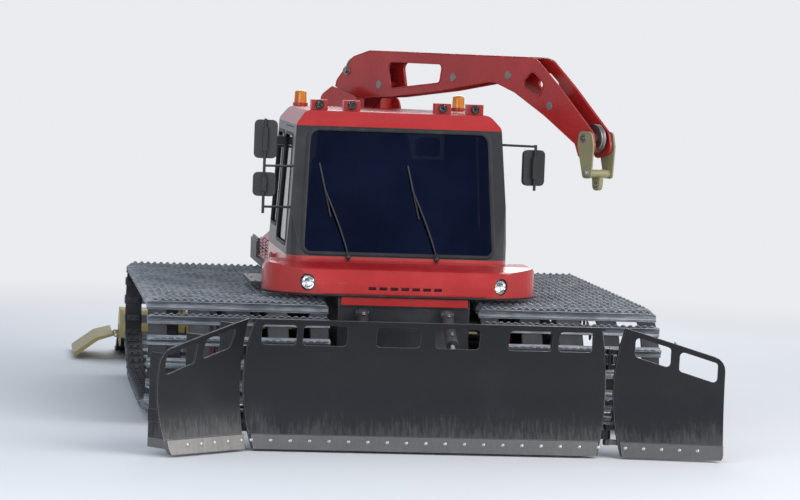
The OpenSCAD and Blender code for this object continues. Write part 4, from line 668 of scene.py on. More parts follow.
# Headlamps. Each is a plated bowl behind a moulded lens, in a black ring that screws into the nose.
lamp_turn = math.radians(30)
lamps = frames_of([(s * (nose_half - 0.368), -nose_front + 0.125, 1.185) for s in (1, -1)],
                  [(s * math.sin(lamp_turn), -math.cos(lamp_turn), 0.0) for s in (1, -1)])
bowl = turned([(0.0001, 0.006), (0.020, 0.008), (0.044, 0.022), (0.058, 0.046), (0.0595, 0.052), (0.062, 0.052),
               (0.062, 0.002), (0.0001, 0.001)], 40)
bulb = turned([(0.0001, 0.008), (0.010, 0.009), (0.011, 0.030), (0.006, 0.037), (0.0001, 0.038)], 16)
ring = turned([(0.067, 0.040), (0.067, 0.060), (0.064, 0.065), (0.058, 0.064), (0.057, 0.058), (0.061, 0.040)], 48,
              closed=True)
lens = turned([(0.0001, 0.050), (0.057, 0.050), (0.058, 0.056), (0.040, 0.061), (0.020, 0.0635), (0.0001, 0.064)], 40)
plated = Finish("plated_bowl", Metallic=1.0, Roughness=0.08)
plated.set(Base_Color=plated.blend(plated.cloud(40.0).ramp(0.3, 0.7), (0.80, 0.81, 0.83), (0.92, 0.92, 0.93)))
lamp_lens = Finish("lamp_lens", Roughness=0.03, IOR=1.49, Transmission_Weight=1.0)
flutes = (lamp_lens.along("X") * 420.0).wave() + (lamp_lens.along("Z") * 160.0).wave() * 0.5
lamp_lens.set(Base_Color=lamp_lens.blend(lamp_lens.cloud(12.0), (0.90, 0.92, 0.94), (0.97, 0.98, 0.98)),
              Normal=lamp_lens.bump(flutes, 0.0004))
black_moulding = cast("black_moulding", (0.022, 0.022, 0.024), 0.5, 420.0, 0.0003, metal=0.0)
for name, slot, finish, forms in (("bowls", "lamp_glass", plated.material, [bowl, bulb]),
                                  ("rings", "black_plastic", black_moulding, [ring]),
                                  ("lenses", "lamp_glass", lamp_lens.material, [lens])):
    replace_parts(fitted(f"headlamp_{name}", "hull", finish, [copies(form, lamps) for form in forms]), "headlamps")

# Cab. Welded and pressed red steel panels, with the posts and the band round the windows painted black.
# Bonded rubber seals hold the panes, which are tinted a deep blue.
cab_half, cab_top_half, cab_front, cab_rear = 0.930, 0.864, 1.530, 0.395
sill_z, roof_z, screen_rake, door_rear, past_doors = 1.345, 2.570, 0.235, 0.330, 0.985


def front_of_cab(z):
    """Y of the windscreen's plane at the height z: a straight slope back from the sill."""
    return -cab_front + np.clip(z - sill_z, 0, None) * screen_rake / (roof_z - 0.09 - sill_z)


def side_of_cab(z):
    """Half the cab's width at the height z: it narrows evenly above the sill."""
    return cab_half - np.clip(z - sill_z, 0, None) * (cab_half - cab_top_half) / (roof_z - 0.11 - sill_z)


def two_tone(name, colour, dark):
    """Paint in two colours: dark in the band of the windows, and the body's own above and below it."""
    paint = Finish(name, Specular_IOR_Level=0.38, Coat_Roughness=0.12)
    z = paint.along("Z")
    # The band, and the mirrors' tubes and arms, which are all that stands further out than the doors
    band = ((z > sill_z + 0.022) * (z < roof_z - 0.128)).larger(paint.along("X").size() > past_doors)
    large, fine = paint.cloud(1.6, 4.0), paint.cloud(30.0, 4.0, rough=0.7)
    normal, edge = paint.edge(0.008)
    rubbed = (edge * 1.4 + (fine - 0.5) * 1.2 - 0.55).ramp(0.0, 0.5) * 0.7
    grime = (1.75 - z).ramp(0.0, 0.7) * 0.13 + large.ramp(0.5, 0.8) * 0.09 + fine.ramp(0.6, 0.8) * 0.08
    red = paint.blend(large.ramp(0.3, 0.7), toned(colour, 0.88), toned(colour, 1.1))
    tone = paint.blend(band, red, dark)
    tone = paint.blend(grime, tone, (0.30, 0.29, 0.29))
    paint.set(Base_Color=paint.blend(rubbed, tone, (0.20, 0.17, 0.16)), Metallic=rubbed * 0.6,
              Roughness=0.24 + band * 0.14 + grime * 0.5 + (fine - 0.5) * 0.06,
              Coat_Weight=(1.0 - grime) * (0.26 - band * 0.12),
              Normal=paint.bump(fine + paint.cloud(300.0, 2.0) * 0.5, 0.00018, normal))
    return paint.material


coat("cab_shell", "door_left", "door_right",
     two_tone("red_and_black_cab_paint", (0.43, 0.016, 0.016), (0.014, 0.015, 0.017)))
tint = Finish("tinted_glass", Metallic=1.0)
film = tint.cloud(2.0, 4.0)
tint.set(Base_Color=tint.blend(film.ramp(0.35, 0.75), (0.012, 0.017, 0.046), (0.018, 0.026, 0.066)),
         Roughness=0.015 + film.ramp(0.5, 0.9) * 0.05, Alpha=0.66 + film * 0.10)
coat("cab_glass", "door_left_glass", "door_right_glass", tint.material)

screen = rounded([[-cab_half + 0.125, sill_z + 0.045, 0.07], [cab_half - 0.125, sill_z + 0.045, 0.07],
                  [cab_top_half - 0.105, roof_z - 0.15, 0.09], [-cab_top_half + 0.105, roof_z - 0.15, 0.09]], 8)
backlight = rounded([[-0.64, sill_z + 0.33, 0.06], [0.64, sill_z + 0.33, 0.06], [0.62, roof_z - 0.19, 0.06],
                     [-0.62, roof_z - 0.19, 0.06]], 6)
quarter = rounded([[-door_rear + 0.095, sill_z + 0.20, 0.05], [-door_rear + 0.095, roof_z - 0.215, 0.05],
                   [cab_rear - 0.11, roof_z - 0.215, 0.05], [cab_rear - 0.11, sill_z + 0.20, 0.05]], 6)
door_pane = rounded([[-cab_front + 0.26, sill_z + 0.095, 0.06],
                     [-cab_front + screen_rake + 0.225, roof_z - 0.215, 0.07],
                     [-door_rear - 0.07, roof_z - 0.215, 0.06], [-door_rear - 0.07, sill_z + 0.095, 0.06]], 6)


def bead(path, wide, thick, out):
    """A seal round a closed path: a flat rounded section, wide along the surface and thick along out."""
    p, out = np.asarray(path, float), np.asarray(out, float)
    out = out / np.linalg.norm(out)
    ahead = np.roll(p, -1, 0) - np.roll(p, 1, 0)
    across = np.cross(ahead / np.linalg.norm(ahead, axis=1, keepdims=True), out)
    section = np.array([(-1, -1), (-1, 0.4), (-0.6, 1), (0.6, 1), (1, 0.4), (1, -1)]) * [wide / 2, thick / 2]
    return skin(p[:, None] + section[None, :, :1] * across[:, None] + section[None, :, 1:] * out, closed=True)


on_screen = points_at(screen[:, 0], front_of_cab(screen[:, 1]), screen[:, 1])
on_back = points_at(backlight[:, 0], cab_rear, backlight[:, 1])
lean = (cab_half - cab_top_half) / (roof_z - 0.11 - sill_z)
slope = screen_rake / (roof_z - 0.09 - sill_z)
seals = [bead(on_screen, 0.034, 0.014, (0, -1, slope)), bead(on_back, 0.030, 0.012, (0, 1, 0))]
for side in (-1, 1):
    on_side = points_at(side * side_of_cab(quarter[:, 1]), *quarter.T)
    seals.append(bead(on_side, 0.028, 0.012, (side, 0, lean)))
fitted("window_seals", "hull", seal_rubber.material, seals, 50)

# Doors. Each hangs on two pins at its rear edge, and has its pane's seal, a pull handle in a shallow cup
# and a lock below it. They are made for the left door and mirrored for the right.
handle_y, handle_z = -1.130, 1.275
on_door = points_at(side_of_cab(door_pane[:, 1]), *door_pane.T)
grip = tube([(x, handle_y + y, handle_z) for x, y in ((0.936, -0.07), (0.962, -0.06), (0.966, -0.03), (0.966, 0.03),
                                                      (0.962, 0.06), (0.936, 0.07))], 0.0085)
cup = placed(plate(oblong(0.085, 0.032, 0.02), 0.008), [(0.927, handle_y, handle_z)], (1, 0, 0))
lock = placed(turned([(0.0001, 0), (0.014, 0), (0.014, 0.005), (0.010, 0.008), (0.0001, 0.008)]),
              [(0.928, handle_y, handle_z - 0.062)], (1, 0, 0))
trim = [bead(on_door, 0.028, 0.012, (1, 0, lean)), cup, grip]
for side, name in ((1, "left"), (-1, "right")):
    fitted(f"door_{name}_trim", f"door_{name}", seal_rubber.material, mirrored(side, trim), 50)
    fitted(f"door_{name}_lock", f"door_{name}", zinc, mirrored(side, [lock]))

# Wipers. Two arms swing from spindles in the scuttle below the windscreen, each with a jointed blade.
reach, rise, blade_len, spindle_z = -0.20, 0.55, 0.4416, sill_z + 0.018
spindle = turned([(0.0001, 0), (0.022, 0), (0.022, 0.016), (0.013, 0.024), (0.0001, 0.026)])
t, u = np.linspace(0, 1, 12), np.linspace(-0.5, 0.5, 16)
zs = spindle_z + t * rise
arched = front_of_cab(zs) - 0.022 - 0.012 * np.sin(np.pi * t)
arched[0] = front_of_cab(spindle_z) - 0.006
blade_z = zs[-1] + u * blade_len
wiper = []
for x in (-0.42, 0.32):
    arm = points_at(x + t ** 1.2 * reach, arched, zs)
    rubber = points_at(arm[-1, 0] - u * 0.10, front_of_cab(blade_z) - 0.010, blade_z)
    wiper += [tube(arm, 0.0065), tube(rubber, 0.0075),
              placed(spindle, [(x, front_of_cab(spindle_z), spindle_z)], (0, -1, slope))]
fitted("wipers", "hull", black_moulding, wiper, 50)

# Mirrors. Moulded housings clamp to tubes ahead of the doors, one on the left and two on the right, each
# with a flat glass in its rear face.
coat("mirrors", black_moulding)
silvered = Finish("silvered_glass", Metallic=1.0, Roughness=0.03)
silvered.set(Base_Color=silvered.blend(silvered.cloud(3.0).ramp(0.3, 0.7), (0.62, 0.66, 0.70), (0.74, 0.77, 0.80)))
mirror_x, mirror_y, mirror_turn = 1.135, -1.440, math.radians(12)
rearward = np.array([-math.sin(mirror_turn), math.cos(mirror_turn), 0.0])
glasses = []
# Rows: side, height, and half the housing's height
for side, z, half in ((1, 2.150, 0.150), (-1, roof_z - 0.250, 0.160), (-1, sill_z + 0.600, 0.100)):
    face = plate(oblong(0.083, half - 0.012, 0.03), 0.004, 0.001)
    glasses += mirrored(side, [placed(face, [[mirror_x, mirror_y, z] + 0.062 * rearward], rearward)])
fitted("mirror_glass", "hull", silvered.material, glasses, 30)

# Roof lamps. Four square work lamps with red moulded bodies stand over the windscreen on brackets, and
# a beacon with an amber dome at each rear corner.
roof_red = painted("red_lamp_bodies", (0.40, 0.018, 0.014), gloss=0.3, wear=0.3, dust=0.2)
coat("roof_lamps", roof_red)
lamp_y = -cab_front + screen_rake + 0.250
fronts = [(x, lamp_y - 0.060, roof_z + 0.044) for x in (-0.66, -0.385, 0.385, 0.66)]
bezel = turned([(0.0001, 0.0), (0.037, 0.0), (0.037, 0.014), (0.033, 0.018), (0.030, 0.015), (0.0001, 0.010)], 32)
fitted("roof_lamp_bezels", "hull", black_moulding, [placed(bezel, fronts, (0, -1, 0))])
face = turned([(0.0001, 0.012), (0.029, 0.012), (0.029, 0.016), (0.015, 0.0185), (0.0001, 0.019)], 32)
fitted("roof_lamp_lenses", "hull", lamp_lens.material, [placed(face, fronts, (0, -1, 0))])
beacons = [(s * 0.70, cab_rear - 0.160, roof_z + 0.026) for s in (-1, 1)]
t = np.linspace(0, 1, 26)
ribbed = points_at(0.056 - 0.004 * t - 0.0015 * np.abs(np.sin(t * 40)), 0.002 + 0.085 * t)
cap_t = np.linspace(0, np.pi / 2, 8)
cap = points_at(0.052 * np.cos(cap_t) + 0.0001, 0.087 + 0.024 * np.sin(cap_t))
dome_profile = np.concatenate([[[0.0001, 0.0]], ribbed, cap])
amber = Finish("amber_dome", Roughness=0.08, IOR=1.49, Transmission_Weight=0.6)
amber.set(Base_Color=amber.blend(amber.cloud(6.0).ramp(0.3, 0.7), (0.80, 0.26, 0.02), (0.88, 0.34, 0.03)))
fitted("beacon_domes", "hull", amber.material, [placed(turned(dome_profile, 36), beacons, (0, 0, 1))], 50)

# Seats. Two sprung seats stand on rubber bellows. Each has a moulded tray and back, and foam cushions in
# a woven grey cloth with stitched channels. The foam is blown up by the cloth simulation.
from_cab = np.array([0.0, -0.430, 1.184])
squareness, rows_up, rows_round = 0.32, 40, 60


def powered(w):
    """A sine or cosine to the power of the squareness, with its own sign."""
    return np.sign(w) * np.abs(w) ** squareness


def crowned(reach, middle, lean):
    """A closed pad round its middle: x = a c(v) c(u), y = b c(v) s(u), z = h s(v), where c(w) and s(w) are the
    powered cosine and sine. It leans back by the angle lean about X."""
    v = np.linspace(-np.pi / 2, np.pi / 2, rows_up)[:, None]
    u = np.linspace(0, 2 * np.pi, rows_round, endpoint=False)
    flat = powered(np.cos(v))
    p = points_at(reach[0] * flat * powered(np.cos(u)), reach[1] * flat * powered(np.sin(u)),
                  reach[2] * powered(np.sin(v)))
    c, s = math.cos(lean), math.sin(lean)
    return skin(p @ np.array([[1, 0, 0], [0, c, s], [0, -s, c]]) + middle)


def points_of(mesh):
    """The mesh's points, one to a row."""
    co = np.empty(len(mesh.vertices) * 3)
    mesh.vertices.foreach_get("co", co)
    return co.reshape(-1, 3)


def worked_out(shape):
    """A new mesh of the shape with its modifiers worked out."""
    return bpy.data.meshes.new_from_object(shape.evaluated_get(bpy.context.evaluated_depsgraph_get()))


def blown(name, pad, swell):
    """The pad after the cloth simulation has filled it: remeshed evenly, blown up frame by frame, and each
    point held to within the swell of where it started."""
    shape = fitted(name, "hull", seat_cloth.material, [pad], 180)
    remesh = shape.modifiers.new("even", "REMESH")
    remesh.mode, remesh.voxel_size = "VOXEL", 0.008
    bpy.context.view_layer.update()
    even = worked_out(shape)
    shape.modifiers.clear()
    shape.data = even
    start = points_of(even)
    cloth = shape.modifiers.new("blow", "CLOTH")
    cloth.settings.use_pressure = True
    cloth.settings.uniform_pressure_force = 4.0
    cloth.settings.effector_weights.gravity = 0.0
    cloth.settings.quality = 4
    cloth.collision_settings.use_collision = False
    cloth.collision_settings.use_self_collision = False
    cloth.point_cache.frame_start, cloth.point_cache.frame_end = 1, blow_frames
    for step in range(1, blow_frames + 1):
        scene.frame_set(step)
    move = points_of(worked_out(shape)) - start
    scene.frame_set(1)
    shape.modifiers.clear()
    move *= np.minimum(1.0, swell / np.maximum(np.linalg.norm(move, axis=1, keepdims=True), 1e-9))
    even.vertices.foreach_set("co", (start + move).ravel())
    even.shade_smooth()
    even.update()
    return shape


seat_x, insert_half, blow_frames = 0.40, 0.135, 20
seat_cloth = Finish("woven_seat_cloth", Specular_IOR_Level=0.25, Sheen_Weight=0.25, Sheen_Roughness=0.5)
x, y, z = (seat_cloth.along(a) for a in "XYZ")
threads = (x * 3600.0).wave() * (y * 3600.0 + z * 3600.0).wave()
fleck = seat_cloth.cloud(220.0, 2.0)
off_middle = (x.size() - seat_x).size()
stitches = ((off_middle - insert_half).size() < 0.0016) * (((y + z) * 700.0).wave() > -0.3)
sat_on = (seat_cloth.cloud(7.0, 3.0) - 0.45).ramp(0.0, 0.3)
tone = seat_cloth.blend(off_middle < insert_half, (0.022, 0.023, 0.026), (0.085, 0.088, 0.096))
tone = seat_cloth.blend(fleck.ramp(0.35, 0.7) * 0.6, tone, (0.06, 0.06, 0.068))
tone = seat_cloth.blend(sat_on * 0.25, tone, (0.13, 0.13, 0.13))
seat_cloth.set(Base_Color=seat_cloth.blend(stitches, tone, (0.30, 0.05, 0.05)), Roughness=0.92 - sat_on * 0.1,
               Normal=seat_cloth.bump(threads * 0.5 + fleck + stitches * 1.5, 0.0004))

# Rows: half the pad's size, its middle above the seat's foot, how far it leans back, and how far it swells
pads = {"pan": ((0.212, 0.222, 0.034), np.array([0.0, -0.040, 0.246]), 3.0, 0.012),
        "back": ((0.212, 0.036, 0.290), np.array([0.0, 0.292, 0.628]), -10.5, 0.012),
        "head": ((0.110, 0.030, 0.082), np.array([0.0, 0.372, 1.066]), -8.0, 0.008)}
back_slope = 0.185
cushions = []
for part, (reach, middle, lean_back, swell) in pads.items():
    points, faces = crowned(reach, middle, math.radians(lean_back))
    left = blown(f"seat_{part}_left", (points + from_cab + [seat_x, 0, 0], faces), swell)
    if part != "head":
        # Sewn channels: two along the insert's sides and three across it, pressed into the blown foam
        off = points_of(left.data) - from_cab - middle - [seat_x, 0, 0]
        along_pad, inward, in_front = ((off[:, 1], [0, 0, -1], off[:, 2] > 0) if part == "pan" else
                                       (off[:, 2], [0, 1, 0], off[:, 1] < off[:, 2] * back_slope))
        across = np.abs(off[:, 0])
        dip = 0.007 * np.exp(-((across - insert_half) / 0.006) ** 2)
        for at in (-0.11, 0.0, 0.11):
            dip += 0.005 * np.exp(-((along_pad - at) / 0.006) ** 2) * (across < insert_half)
        sewn = points_of(left.data) + np.outer(dip * in_front, inward)
        left.data.vertices.foreach_set("co", sewn.ravel())
    right = bpy.data.objects.new(f"seat_{part}_right", left.data.copy())
    right.data.vertices.foreach_set("co", (points_of(right.data) - [2 * seat_x, 0, 0]).ravel())
    scene.collection.objects.link(right)
    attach(right, "hull")
    for piece in (left, right):
        smooth = piece.modifiers.new("smooth", "SUBSURF")
        smooth.levels = smooth.render_levels = 1
        cushions.append(piece)

# The bellows is a rubber sleeve with folds, and the tray, the back's pan and the headrest's posts are
# moulded and bent parts bolted to it.
folds = np.linspace(0, 1, 45)
sleeve = points_at(0.098 + 0.010 * np.cos(folds * 2 * np.pi * 7), 0.004 + 0.182 * folds)
sleeve = np.concatenate([[[0.0001, 0.0], [0.108, 0.0]], sleeve, [[0.0001, 0.190]]])
tray = rounded([[-0.225, -0.255, 0.07], [0.225, -0.255, 0.07], [0.225, 0.200, 0.05], [-0.225, 0.200, 0.05]], 6)
# Rows of the tray's section, from its underside round its rim: how far out, and height
tray_rows = [(-0.02, 0.190), (0.0, 0.194), (0.008, 0.215), (0.010, 0.232), (0.004, 0.233), (-0.004, 0.214),
             (-0.02, 0.204)]
rings = [points_at(*tray.T * (1 + grow / 0.225), rise) for grow, rise in tray_rows]
shell_u, shell_v = np.linspace(-1, 1, 17)[:, None], np.linspace(0, 1, 16)[None, :]
bend = 0.318 + 0.110 * shell_v + 0.016 * shell_v * (1 - shell_v) - 0.022 * shell_u ** 4
wide = (0.232 - 0.030 * shell_v ** 3) * shell_u
tall = 0.285 + (0.675 - 0.03 * shell_u ** 6) * shell_v
front = points_at(wide, bend, tall)
rear = front + [0, 0.012, 0]


def rim_of(points):
    """The points round the rim of a grid, in order."""
    return np.concatenate([points[:, 0], points[-1, 1:], points[::-1, -1][1:], points[0, ::-1][1:-1]])


posts = [tube([(x, 0.405, 0.90), (x, 0.395, 0.96), (x, 0.385, 1.02)], 0.006) for x in (-0.05, 0.05)]
back_pan = [skin(front, caps=False, around=False), skin(rear, caps=False, around=False),
            skin(np.stack([rim_of(front), rim_of(rear)]), caps=False)]
moulded = [turned(sleeve, 36), skin(np.array(rings)), *back_pan, *posts]
seat_mouldings = fitted("seat_mouldings", "hull", black_moulding,
                        [(p + from_cab + [side * seat_x, 0, 0], f) for side in (-1, 1) for p, f in moulded], 40)
for piece in [*cushions, seat_mouldings]:
    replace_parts(piece, "seats")

# Console. The dash and the armrest between the seats are moulded in soft black, with a blank dark screen,
# rocker switches, air vents and two levers on rubber boots.
soft_black = Finish("soft_dash_skin", Specular_IOR_Level=0.35)
grain = soft_black.cells(900.0)
haze = soft_black.cloud(9.0, 4.0)
soft_black.set(Base_Color=soft_black.blend(haze.ramp(0.35, 0.8) * 0.4, (0.020, 0.021, 0.023), (0.07, 0.07, 0.072)),
               Roughness=0.55 + haze * 0.2, Normal=soft_black.bump(grain, 0.0002))
coat("console", soft_black.material)
floor_z, dash_y, dash_slope, rest_slope = 1.1843, -1.300, (0, 0.10, 1.0), (0, -0.036, 1.0)
vent = plate(oblong(0.060, 0.022, 0.008, 4), 0.006, 0.002)
vane = plate(oblong(0.052, 0.0022, 0), 0.009, 0.0008)
rocker = plate(oblong(0.008, 0.014, 0.003, 3), 0.007, 0.002)
boot_t = np.linspace(0, 1, 30)
sleeve = points_at(0.045 - 0.026 * boot_t + 0.003 * np.cos(boot_t * 30), 0.004 + 0.05 * boot_t)
boot = turned(np.concatenate([[[0.0001, 0.0]], sleeve, [[0.0001, 0.055]]]), 28)
switches = []
for x in (-0.56, -0.20, 0.20, 0.56):
    switches.append(placed(vent, [(x, dash_y, sill_z + 0.040)], dash_slope, (0, -1, 0)))
    vane_ys = [(x, dash_y + k, sill_z + 0.041) for k in (-0.014, -0.005, 0.005, 0.014)]
    switches.append(placed(vane, vane_ys, dash_slope, (0, -1, 0)))
rocker_at = [(x, -0.54 + y, floor_z + 0.4285 + y * 0.036) for x in (-0.066, -0.022, 0.022, 0.066) for y in (0, 0.05)]
switches.append(placed(rocker, rocker_at, rest_slope, (0, -1, 0)))
switches.append(placed(boot, [(x, -0.703, floor_z + 0.418) for x in (-0.055, 0.055)], (0, -0.15, 1.0)))
fitted("console_fittings", "hull", black_moulding, switches, 40)
screen_at = frames_of([(0.0, -1.215, sill_z + 0.125)], (0.0, 0.93, 0.36))
stalk = tube([(0, -1.235, sill_z + 0.045), (0, -1.232, sill_z + 0.09), (0, -1.225, sill_z + 0.125)], 0.013)
screen_body = copies(plate(oblong(0.135, 0.085, 0.012, 4), 0.026, 0.005), screen_at)
fitted("dash_screen", "hull", soft_black.material, [screen_body, stalk], 40)
dark_screen = Finish("dark_screen_glass", Specular_IOR_Level=0.6)
smear = dark_screen.cloud(30.0, 3.0)
dark_screen.set(Base_Color=dark_screen.blend(smear.ramp(0.4, 0.8) * 0.3, (0.006, 0.008, 0.011), (0.03, 0.032, 0.036)),
                Roughness=0.05 + smear.ramp(0.5, 0.8) * 0.15)
screen_at[0, :, 3] += screen_at[0, :, 2] * 0.0255
fitted("dash_screen_glass", "hull", dark_screen.material,
       [copies(plate(oblong(0.120, 0.070, 0.004, 3), 0.002, 0.0006), screen_at)], 30)

# Engine housing. Folded red sheet over the engine, with pressed louvres in both sides and dark mesh behind
# them. Split lines mark the side covers, each on two hinges and held by four latches.
housing_front, housing_rear, housing_half, housing_top = cab_rear + 0.030, 1.660, cab_half - 0.030, 1.428
louvre_len, louvre_pitch, slat_pitch, wire_pitch = 0.270, 0.350, 0.028, 0.016
coat("engine_housing", hull_red)
slat_t = np.linspace(0, 1, 7)
bulge, fall_off = 0.012 * np.sin(np.pi * slat_t), 0.014 - 0.026 * slat_t
stand = np.array([0.0, 0.45, 1.0, 1.0, 0.45, 0.0])[:, None]
blades, wires = [], []
for side in (-1, 1):
    wire_x, back_wire_x = side * (housing_half - 0.044), side * (housing_half - 0.046)
    for y0 in housing_front + 0.130 + louvre_pitch * np.arange(3):
        y = (y0 + np.array([0.0, 0.006, 0.020, louvre_len - 0.020, louvre_len - 0.006, louvre_len]))[:, None]
        for z0 in deck_z + 0.046 + slat_pitch * np.arange(6):
            outer = points_at(housing_half - 0.0006 + bulge * stand, y, z0 + fall_off)
            blades += mirrored(side, [skin(np.concatenate([outer, outer[:, ::-1] - [0.0025, 0, 0]], axis=1))])
        for y in np.arange(y0 + 0.004, y0 + louvre_len - 0.002, wire_pitch):
            wires.append(tube([(back_wire_x, y, deck_z + 0.034), (back_wire_x, y, deck_z + 0.200)], 0.0014, 5))
        for z in np.arange(deck_z + 0.040, deck_z + 0.200, wire_pitch):
            wires.append(tube([(wire_x, y0, z), (wire_x, y0 + louvre_len, z)], 0.0014, 5))
fitted("louvre_blades", "hull", hull_red, blades, 40)
fitted("louvre_mesh", "hull", black_moulding, wires, 60)
split_ys, split_z = (housing_front + 0.095, housing_rear - 0.080), housing_top - 0.140
latch_ys = (housing_front + 0.110, housing_front + 0.4565, housing_front + 0.806, housing_rear - 0.105)
latch = plate(oblong(0.020, 0.034, 0.008, 4), 0.006, 0.002)
knob = turned([(0.0001, 0), (0.011, 0), (0.011, 0.012), (0.008, 0.015), (0.0001, 0.0155)])
lines, latches, hinges, bolts = [], [], [], []
for side in (-1, 1):
    x = side * (housing_half + 0.0005)
    lines += [tube([(x, y, deck_z + 0.006), (x, y, split_z)], 0.0032, 6) for y in split_ys]
    lines.append(tube([(x, y, split_z) for y in split_ys], 0.0032, 6))
    for y in latch_ys:
        latches += [placed(form, [(x, y, deck_z + 0.115)], (side, 0, 0)) for form in (latch, knob)]
    for y in (housing_front + 0.25, housing_front + 0.95):
        hinges.append(tube([(x, y - 0.045, split_z + 0.001), (x, y + 0.045, split_z + 0.001)], 0.0075, 12))
    bolts += [((x, y, deck_z + 0.018), (side, 0, 0)) for y in np.arange(housing_front + 0.03, housing_rear, 0.13)]
bolts += [((x, housing_rear, deck_z + 0.020), (0, 1, 0)) for x in np.arange(-0.72, 0.73, 0.18)]
bolts += [((0.60 * x, 1.015 + 0.575 * y, housing_top - 0.0005), (0, 0, 1)) for x, y in circle_of(16, 1.0, 0.1)]
fitted("housing_split_lines", "hull", seal_rubber.material, lines, 60)
fitted("housing_latches", "hull", black_moulding, latches + hinges, 45)
fitted("housing_bolts", "hull", zinc, [placed(hex_bolt(0.016), *zip(*bolts), (0, 1, 0.3))])
coat("engine_block", cast("engine_casting", (0.13, 0.135, 0.14), 0.6))

# Exhaust. A stainless silencer stands behind the housing in a drilled heat shield, held by two clamps,
# and its bent pipe ends in a lip round a black disc: soot, and painted shade for the pipe's open end.
# The steel has turned straw and blue from the heat.
stainless = Finish("heat_tinted_stainless", Metallic=1.0)
z, fine, large = stainless.along("Z"), stainless.cloud(60.0, 4.0), stainless.cloud(6.0, 3.0)
tone = stainless.blend(z.ramp(1.35, 1.75), (0.52, 0.50, 0.47), (0.46, 0.34, 0.22))
tone = stainless.blend((z - 1.66 + (large - 0.5) * 0.1).ramp(0.0, 0.08) * 0.8, tone, (0.16, 0.19, 0.30))
tone = stainless.blend(fine.ramp(0.55, 0.8) * 0.5, tone, (0.12, 0.10, 0.09))
stainless.set(Base_Color=tone, Roughness=0.32 + fine * 0.3, Normal=stainless.bump(fine, 0.0003))
coat("exhaust", stainless.material)
stack = np.array([cab_half - 0.110, housing_rear + 0.090, deck_z])
clamp_zs, weld_zs, pipe_z, tip_z, tip_lean = (0.075, 0.345), (0.006, 0.412), 0.452, 0.515, math.radians(20)


def on_stack(form, heights):
    """The form upright on the silencer's axis, at each of the heights above the deck."""
    return placed(form, stack + points_at(0, 0, heights), (0, 0, 1))


band = turned([(0.0581, -0.011), (0.0618, -0.011), (0.0618, 0.011), (0.0581, 0.011)], 48)
weld = turned([(0.0575, -0.004), (0.0605, -0.0025), (0.0615, 0.0), (0.0605, 0.0025), (0.0575, 0.004)], 48)
pipe_band = turned([(0.0401, -0.010), (0.0440, -0.010), (0.0440, 0.010), (0.0401, 0.010)], 40)
clamps = [on_stack(band, clamp_zs), on_stack(weld, weld_zs), on_stack(pipe_band, [pipe_z])]
lug = plate(oblong(0.013, 0.010, 0.003, 3) + [0.001, 0], 0.016, 0.002)
for h in clamp_zs:
    clamps.append(placed(lug, [stack + [-0.060, -0.010, h]], (0, 1, 0)))
    clamps.append(placed(hex_bolt(0.014), [stack + [-0.068, -0.010, h]], (0, -1, 0)))
fitted("exhaust_clamps", "hull", zinc, clamps, 40)
lean_out = np.array([0.0, -math.sin(tip_lean), math.cos(tip_lean)])
mouth_at = frames_of([stack + [0, 0, tip_z] + lean_out * 0.120], lean_out)
lip_ring = turned([(0.0385, 0.0), (0.0412, 0.0), (0.0412, 0.010), (0.0385, 0.012), (0.0355, 0.010), (0.0355, 0.0)], 40)
fitted("exhaust_lip", "hull", stainless.material, [copies(lip_ring, mouth_at)], 40)
# A sooty black disc across the pipe's mouth, which is also painted shade for the hollow of the open pipe
soot = Finish("soot", Roughness=0.95)
soot.set(Base_Color=soot.blend(soot.cloud(120.0, 3.0), (0.006, 0.006, 0.006), (0.022, 0.020, 0.018)))
mouth = turned([(0.0001, 0.0005), (0.036, 0.0005), (0.036, 0.002), (0.0001, 0.0008)], 40)
fitted("exhaust_mouth", "hull", soot.material, [copies(mouth, mouth_at)], 40)
guard_low, guard_high, hole_rows, hole_pitch = 0.085, 0.335, 24, 0.0125
guard_z, guard_a = np.linspace(guard_low, guard_high, 60)[:, None], np.arange(96) * 2 * np.pi / 96
holes = np.cos(guard_a * hole_rows) * np.cos((guard_z - guard_low) * np.pi / hole_pitch)
guard_r = 0.0605 - 0.0016 * np.clip(holes, 0, 1)
guard = points_at(guard_r * np.cos(guard_a), guard_r * np.sin(guard_a), guard_z) + stack
fitted("exhaust_shield", "hull", stainless.material, [skin(guard)], 20)

# Load platform. A welded rail of tube stands on each side behind the housing, and the bed is bolted down.
rails = []
for x in (-cab_half + 0.025, cab_half - 0.025):
    rails += [tube([(x, y, deck_z + 0.140), (x, y, deck_z + 0.160)], 0.012) for y in (1.70, 2.00, 2.29)]
    rails.append(tube([(x, 1.69, deck_z + 0.162), (x, 2.30, deck_z + 0.162)], 0.013))
fitted("platform_rails", "hull", black_paint, rails, 40)

# Tail lamps. Each is a round red lens in a black rubber ring, pressed into the rear face of the platform.
tail = frames_of([(s * 0.80, 2.3301, deck_z - 0.022) for s in (-1, 1)], (0, 1, 0))
lamp_ring = turned([(0.0001, 0.0), (0.021, 0.0), (0.021, 0.008), (0.018, 0.011), (0.0160, 0.009), (0.0001, 0.006)], 32)
fitted("tail_lamp_rings", "hull", seal_rubber.material, [copies(lamp_ring, tail)])
red_lens = Finish("red_lens", Roughness=0.12, Specular_IOR_Level=0.7)
red_lens.set(Base_Color=red_lens.blend(red_lens.cells(260.0), (0.42, 0.012, 0.010), (0.60, 0.03, 0.02)))
lamp_dome = turned([(0.0001, 0.006), (0.0158, 0.006), (0.0158, 0.009), (0.010, 0.0125), (0.0001, 0.0135)], 32)
fitted("tail_lamp_lenses", "hull", red_lens.material, [copies(lamp_dome, tail)])

